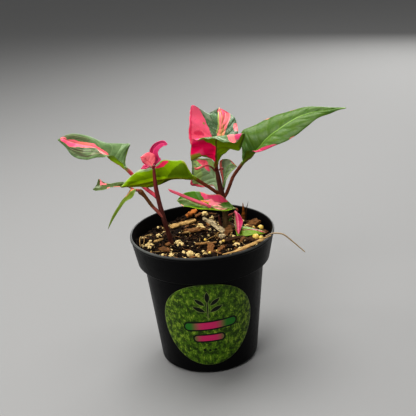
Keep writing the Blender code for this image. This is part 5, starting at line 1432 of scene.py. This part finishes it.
            ((32.5, -2, 92.5), (0.5, 4.5, 0), (-1.5, -4, -3)),
            ((37.5, -2.5, 92), (0, 3, -0.5), (-1, -3, -2)),
            ((40.5, -3.5, 91), (0, 2, 0.5), (-0.5, -1.5, -1.5)), ((44.5, -4, 90),),
        ],
        "patches": {
            "pink": [
                [(0.5, -0.05), (0.62, -0.3), (0.8, -0.45), (1.02, -0.6), (1.02, 0.4), (0.8, 0.08),
                 (0.62, 0.1)],
            ],
        },
        "tones": {
            "green": (0.18, 0.29, 0.015), "darkGreen": (0.12, 0.21, 0.01), "lightGreen": (0.28, 0.4, 0.04),
            "ribTop": (0.2, 0.025, 0.03), "stalk": (0.06, 0.03, 0.012), "pink": (0.72, 0.1, 0.14),
        },
    },
}


def leafGrid(leaf):
    # The blade is rib + margin * |share|, dished by 4|share|(1-|share|) and rippled by a sine that grows
    # towards the margin; both faces stand off it by half a thickness, with a round rib below. The stalk
    # is circles along a smooth curve, and its circles melt into the blade's first stations.
    rows = np.array([[(0, 0, 0), row[0], (0, 0, 0)] if len(row) == 1 else [row[1], row[0], row[2]]
                     for row in leaf["rows"]], float)
    length = np.linalg.norm(np.diff(rows[:, 1], axis=0), axis=1).sum()
    places = np.linspace(0, len(rows) - 1, max(24, int(length / leaf["step"])))
    rail = smoothCurve(rows, places)
    left, rib, right = rail[:, 0], rail[:, 1], rail[:, 2]
    ahead = unit(np.gradient(rib, axis=0))
    face = np.cross(right - left, ahead)
    face[0], face[-1] = face[1], face[-2]
    face = unit(face)
    along = (places / places[-1])[:, None]
    u = np.linspace(-1, 1, 2 * leaf["half"] + 1)
    share = (u * (0.62 + 0.38 * u * u))[None, :]  # points closer together near the rib
    disc = np.sin(u * math.pi / 2)[None, :]
    edge = np.cos(u * math.pi / 2)[None, :] * 0.98 + 0.02  # half of the stalk's round section
    margin = np.where(share[..., None] < 0, left[:, None], right[:, None])
    reach = np.linalg.norm(margin, axis=2)
    wide = reach.max()
    openEnd = np.clip(reach / (0.3 * wide), 0, 1)  # no lift at the narrow ends
    height, count = leaf["ripple"]
    lift = np.where(share < 0, *leaf["bulge"]) * 4 * abs(share) * (1 - abs(share))
    wave = 2 * math.pi * count * along + np.where(share < 0, 0.6, 2.4)
    lift = lift + height * abs(share)**1.5 * np.sin(wave)
    phase = along * leaf["veins"] - abs(share) * 1.5
    lift = lift + leaf["pleat"] * min(1, wide / 9) * (abs(np.sin(math.pi * phase)) - 0.6) * (1 - share**6)
    uneven = 1 + 0.007 * np.sin(2 * math.pi * (11 * along + 0.2 * np.sin(19 * along))) * share**2
    blade = rib[:, None] + margin * (abs(share) * uneven)[..., None]
    blade = blade + face[:, None] * (lift * openEnd)[..., None]
    normal = np.cross(np.gradient(blade, axis=1), np.gradient(blade, axis=0))
    weak = np.linalg.norm(normal, axis=2) < 1e-5
    normal[weak] = np.broadcast_to(face[:, None], normal.shape)[weak]
    normal = unit(normal)
    stalkRadius = leaf["stalkRadius"]
    ribRadius = stalkRadius * (1 - 0.72 * along)  # the rib thins towards the tip
    side = np.cross(ahead, face)
    melt = smooth(reach / (2.5 * ribRadius))  # from 0, still the stalk's round section, to 1, a flat blade
    middle = blade + side[:, None] * (disc * ribRadius * (1 - melt))[..., None]
    upward = unit(normal * melt[..., None] + face[:, None] * (1 - melt)[..., None])
    thick = leaf["thickness"] / 2 * (1 - 0.7 * share**6) * melt + ribRadius * edge * (1 - melt)
    top = thick - 0.18 * np.exp(-(share * reach / 0.5)**2) * melt * (1 - along)  # a groove above the rib
    under = thick + ribRadius * 0.9 * np.exp(-(share * reach / 1.1)**2) * melt  # the rib stands out below
    bladeRings = np.concatenate([middle + upward * top[..., None],
                                 (middle - upward * under[..., None])[:, ::-1]], axis=1)

    foot = np.array(leaf["stalkRoute"] + [leaf["rows"][0][0]], float)
    dense = smoothCurve(foot, np.linspace(0, len(foot) - 1, 40 * len(foot)))
    run = np.concatenate([[0], np.cumsum(np.linalg.norm(np.diff(dense, axis=0), axis=1))])
    at = np.linspace(0, run[-1], max(4, int(run[-1] / leaf["stalkStep"])), endpoint=False)

    def onStalk(distance):
        return np.stack([np.interp(distance, run, dense[:, k]) for k in range(3)], axis=1)

    way = unit(onStalk(at + 0.4) - onStalk(at - 0.4))
    turn = unit(face[0] - way * (way @ face[0])[:, None])
    across = np.cross(way, turn)
    swell = stalkRadius * (1 + 0.25 * np.exp(-at / 1.5) + 0.03 * np.sin(at * 1.3))[:, None, None]
    sideways, outward = disc[..., None] * across[:, None], edge[..., None] * turn[:, None]
    stalkRings = onStalk(at)[:, None] + np.concatenate(
        [swell * (sideways + outward), (swell * (sideways - outward))[:, ::-1]], axis=1)

    # s runs from -1 to 0 up the stalk and on to 1 along the blade, t from -1 to 1 across it
    both = np.concatenate([share[0], share[0][::-1]])[None]
    s = np.concatenate([(at / run[-1] - 1)[:, None], along]) + 0 * both
    t = both + 0 * s
    reachBoth = np.concatenate([np.full((len(at), both.shape[1]), stalkRadius),
                                np.concatenate([reach, reach[:, ::-1]], axis=1)])
    fields = {
        "underside": np.concatenate([0 * share[0], 0 * share[0] + 1])[None] + 0 * s,
        "stalk": smooth(-s * 6 + 0.2),
        "ribGap": abs(t) * reachBoth + 8 * (s < 0),
        "rimGap": (1 - abs(t)) * reachBoth + 8 * (s < 0),
    }
    for kind, shapes in leaf["patches"].items():
        fields[kind] = patchField(s, t, shapes, length, wide)
    return np.concatenate([stalkRings, bladeRings]), fields, np.stack([s, 0.5 + 0.5 * t], -1)


def patchField(s, t, shapes, length, wide):
    # how far inside the nearest of the outlines a point lies, in mm, up to the limit
    limit = leafUsual["fieldReach"]
    x, y = s * length, t * wide
    best = np.full(s.shape, -limit)
    for shape in shapes:
        corner = np.array(shape, float) * [length, wide]
        nearest = np.full(s.shape, 99.0)
        within = np.zeros(s.shape, bool)
        for (ax, ay), (bx, by) in zip(corner, np.roll(corner, -1, axis=0)):
            dx, dy = bx - ax, by - ay
            share = np.clip(((x - ax) * dx + (y - ay) * dy) / max(dx * dx + dy * dy, 1e-9), 0, 1)
            nearest = np.minimum(nearest, np.hypot(x - ax - share * dx, y - ay - share * dy))
            within ^= ((ay > y) != (by > y)) & (x < dx * (y - ay) / (dy if dy else 1e-9) + ax)
        best = np.maximum(best, np.where(within, nearest, -nearest))
    return np.clip(best, -limit, limit)


def dimmed(colour, share):
    # the same colour, darker
    return tuple(share * c for c in colour)


def leafFinish(name, look):
    # veined green above and below, then the patches over it, then the rim, the rib and the stalk
    tone = dict(palette, **look["tones"])
    bench = Bench(name + "Skin")
    flat, along, v = bench.flat()
    across = bench.math("ABSOLUTE", bench.minus(bench.times(v, 2.0), 1.0))
    cloud = bench.grain(170.0)
    fine = bench.grain(900.0, 3, 0.6)
    torn = bench.grain(420.0, 4, 0.65)
    under = bench.field("underside")
    phase = bench.minus(bench.times(along, float(look["veins"])), bench.times(across, 1.5))
    phase = bench.plus(phase, bench.times(bench.minus(cloud, 0.5), 0.3))
    fromVein = bench.math("PINGPONG", phase, 0.5)
    vein = bench.fade(fromVein, 0.0, 0.07, 1.0, 0.0)
    cells = bench.put("ShaderNodeTexVoronoi", {"Vector": bench.object, "Scale": 650.0},
                      feature="DISTANCE_TO_EDGE")
    net = bench.fade(cells.outputs["Distance"], 0.0, 0.12, 1.0, 0.0)

    green = bench.wash(tone["green"], tone["darkGreen"], cloud, 0.3, 0.75)
    green = bench.blend(bench.times(vein, 0.26), green, tone["lightGreen"])
    green = bench.blend(bench.times(net, 0.10), green, tone["lightGreen"])
    # painted highlight: pale green glints between the veins, as strong as the leaf's sheen share, stand in
    # for gloss
    paintedGlints = bench.times(bench.fade(fromVein, 0.12, 0.4), bench.fade(torn, 0.45, 0.62))
    green = bench.blend(bench.times(paintedGlints, look["paintedSheen"]), green, tone["lightGreen"])
    below = bench.wash(tone["under"], dimmed(tone["under"], 0.85), cloud, 0.35, 0.7)
    below = bench.blend(bench.times(vein, 0.2), below, tone["underDark"])
    colour = bench.blend(under, green, below)

    def patch(kind, colour, paint, strength=1.0, blur=0.2, ragged=2.2):
        # a patch is where its field, roughened by noise, is above zero
        if kind not in look["patches"]:
            return colour
        place = bench.plus(bench.field(kind), bench.times(bench.minus(torn, 0.5), ragged))
        return bench.wash(colour, paint, place, -blur, blur, 0.0, strength)

    def faces(top, low):
        return bench.blend(under, tone[top], tone[low])

    streak = bench.grain(3.0, 3.0, 0.5, (2.0, 9.0, 1.0), flat)
    streaky = bench.wash(tone["olive"], tone["green"], streak, 0.42, 0.58)
    streaky = bench.wash(streaky, tone["streak"], streak, 0.58, 0.66, 0.0, 0.8)
    rosy = bench.wash(tone["pink"], dimmed(tone["pink"], 0.88), cloud, 0.35, 0.65)
    rosy = bench.blend(bench.times(vein, 0.2), rosy, tone["salmon"])
    rosy = bench.blend(under, rosy, bench.blend(0.6, rosy, tone["magenta"]))
    salmon = bench.blend(bench.times(vein, 0.4), tone["salmon"], tone["pink"])
    colour = patch("light", colour, faces("lightGreen", "lightUnder"), 0.85, 0.9)
    # the dark patch paints a darker green; on leaf_front_underside and leaf_right_large it is painted shade
    colour = patch("dark", colour, faces("darkGreen", "underDark"), 1.0, 0.5)
    colour = patch("olive", colour, streaky, 0.95, 0.8)
    colour = patch("salmon", colour, salmon)
    colour = patch("pink", colour, rosy)
    # magenta is the leaves' own colour, except on leaf_furled, where it is painted shade on the lower side
    colour = patch("magenta", colour, tone.get("blush", tone["magenta"]), 0.95, 0.5)
    colour = patch("peach", colour, tone["peach"], 0.85, 0.7)
    colour = patch("cream", colour, tone["cream"], 0.9, 0.4, 1.2)
    # the fleck patch is laid last; on leaf_front_underside it is painted light, a brighter green
    colour = patch("fleck", colour, tone["fleck"], 0.9, 0.3, 1.2)
    colour = bench.wash(colour, tone.get("rim", tone["lightGreen"]), bench.field("rimGap"), 0.1, 0.5,
                        look["rimShow"], 0.0)
    colour = bench.wash(colour, faces("ribTop", "ribUnder"), bench.field("ribGap"), look["ribWidth"],
                        look["ribWidth"] + 0.35, 0.85, 0.0)
    stalkTone = bench.wash(tone["stalk"], dimmed(tone["stalk"], 0.6), fine, 0.4, 0.7)
    if "stalkTop" in tone:
        stalkTone = bench.blend(under, tone["stalkTop"], stalkTone)
    colour = bench.blend(bench.field("stalk"), colour, stalkTone)

    relief = bench.plus(bench.fade(fromVein, 0.0, 0.3), bench.times(net, -0.12))
    relief = bench.plus(relief, bench.times(fine, 0.18))
    relief = bench.times(relief, bench.minus(1.0, bench.times(under, 1.7)))
    roughness = bench.plus(bench.fade(fine, 0.3, 0.7, 0.27, 0.38), bench.times(under, 0.18))
    return bench.close(colour, roughness, bench.bump(relief, look["quilt"], 0.8), look["gloss"])


for leafName, leafSpec in leaves.items():
    leafSpec = dict(leafUsual, **leafSpec)
    blade, bladeFields, bladeMap = leafGrid(leafSpec)
    leafPiece = skin(leafName, blade, leafFinish(leafName, leafSpec), bladeFields, bladeMap)
    wear(leafPiece, leafSpec["slot"], leafName)
print("the leaves are on:", len(leaves))


# the smallest leaves are flattened bars that go from the start colour to the end colour
leafletUsual = {"around": 20, "step": 0.25, "relief": 0.18, "seed": 6, "flatten": 0.7}
leaflets = {
    "leaf_shrivelled": {
        "route": [(12.8, 18.4, 129.5), (11.5, 18, 130.6), (10.3, 17, 132.9), (8.1, 16, 134.9),
                  (5.9, 15.5, 135.6), (3.6, 15, 135.2), (1.2, 14.5, 134.4), (-1, 14, 134),
                  (-2.1, 13.6, 135.4)],
        "radii": [0.6, 0.5, 0.55, 0.6, 0.6, 0.7, 0.75, 0.8, 0.4], "slot": "leaf_pink",
        "start": (0.16, 0.03, 0.02), "end": (0.62, 0.10, 0.11),
    },
    "leaf_bud": {
        "route": [(13.6, 18.2, 130.2), (14.8, 17.5, 131), (15.9, 17.1, 132.1), (17, 16.8, 132.2),
                  (17.7, 16.7, 131.2)],
        "radii": [0.5, 0.5, 0.6, 0.75, 0.5], "slot": "leaf_pink",
        "start": (0.12, 0.03, 0.02), "end": (0.20, 0.02, 0.02),
    },
    "leaf_shoot": {
        "route": [(19, 18.5, 91.5), (20.3, 18, 92.6), (21, 17.6, 94), (21.9, 17.2, 95.6)],
        "radii": [0.5, 0.5, 0.9, 0.35], "slot": "leaf_green",
        "start": (0.06, 0.12, 0.02), "end": (0.10, 0.24, 0.03),
    },
}


def leafletFinish(name, leaflet):
    bench = Bench(name + "Skin")
    speckle = bench.grain(900.0)
    tone = bench.wash(leaflet["start"], leaflet["end"], bench.field("along"), 0.25, 0.8)
    tone = bench.wash(tone, dimmed(leaflet["start"], 0.4), speckle, 0.5, 0.8, 0.0, 0.5)
    return bench.close(tone, 0.45, bench.bump(speckle, 0.0002, 0.6))


for leafName, leaflet in leaflets.items():
    leafPiece = rod(leafName, dict(leafletUsual, **leaflet), leafletFinish(leafName, leaflet))
    wear(leafPiece, leaflet["slot"], leafName)
print("the small leaves are on")
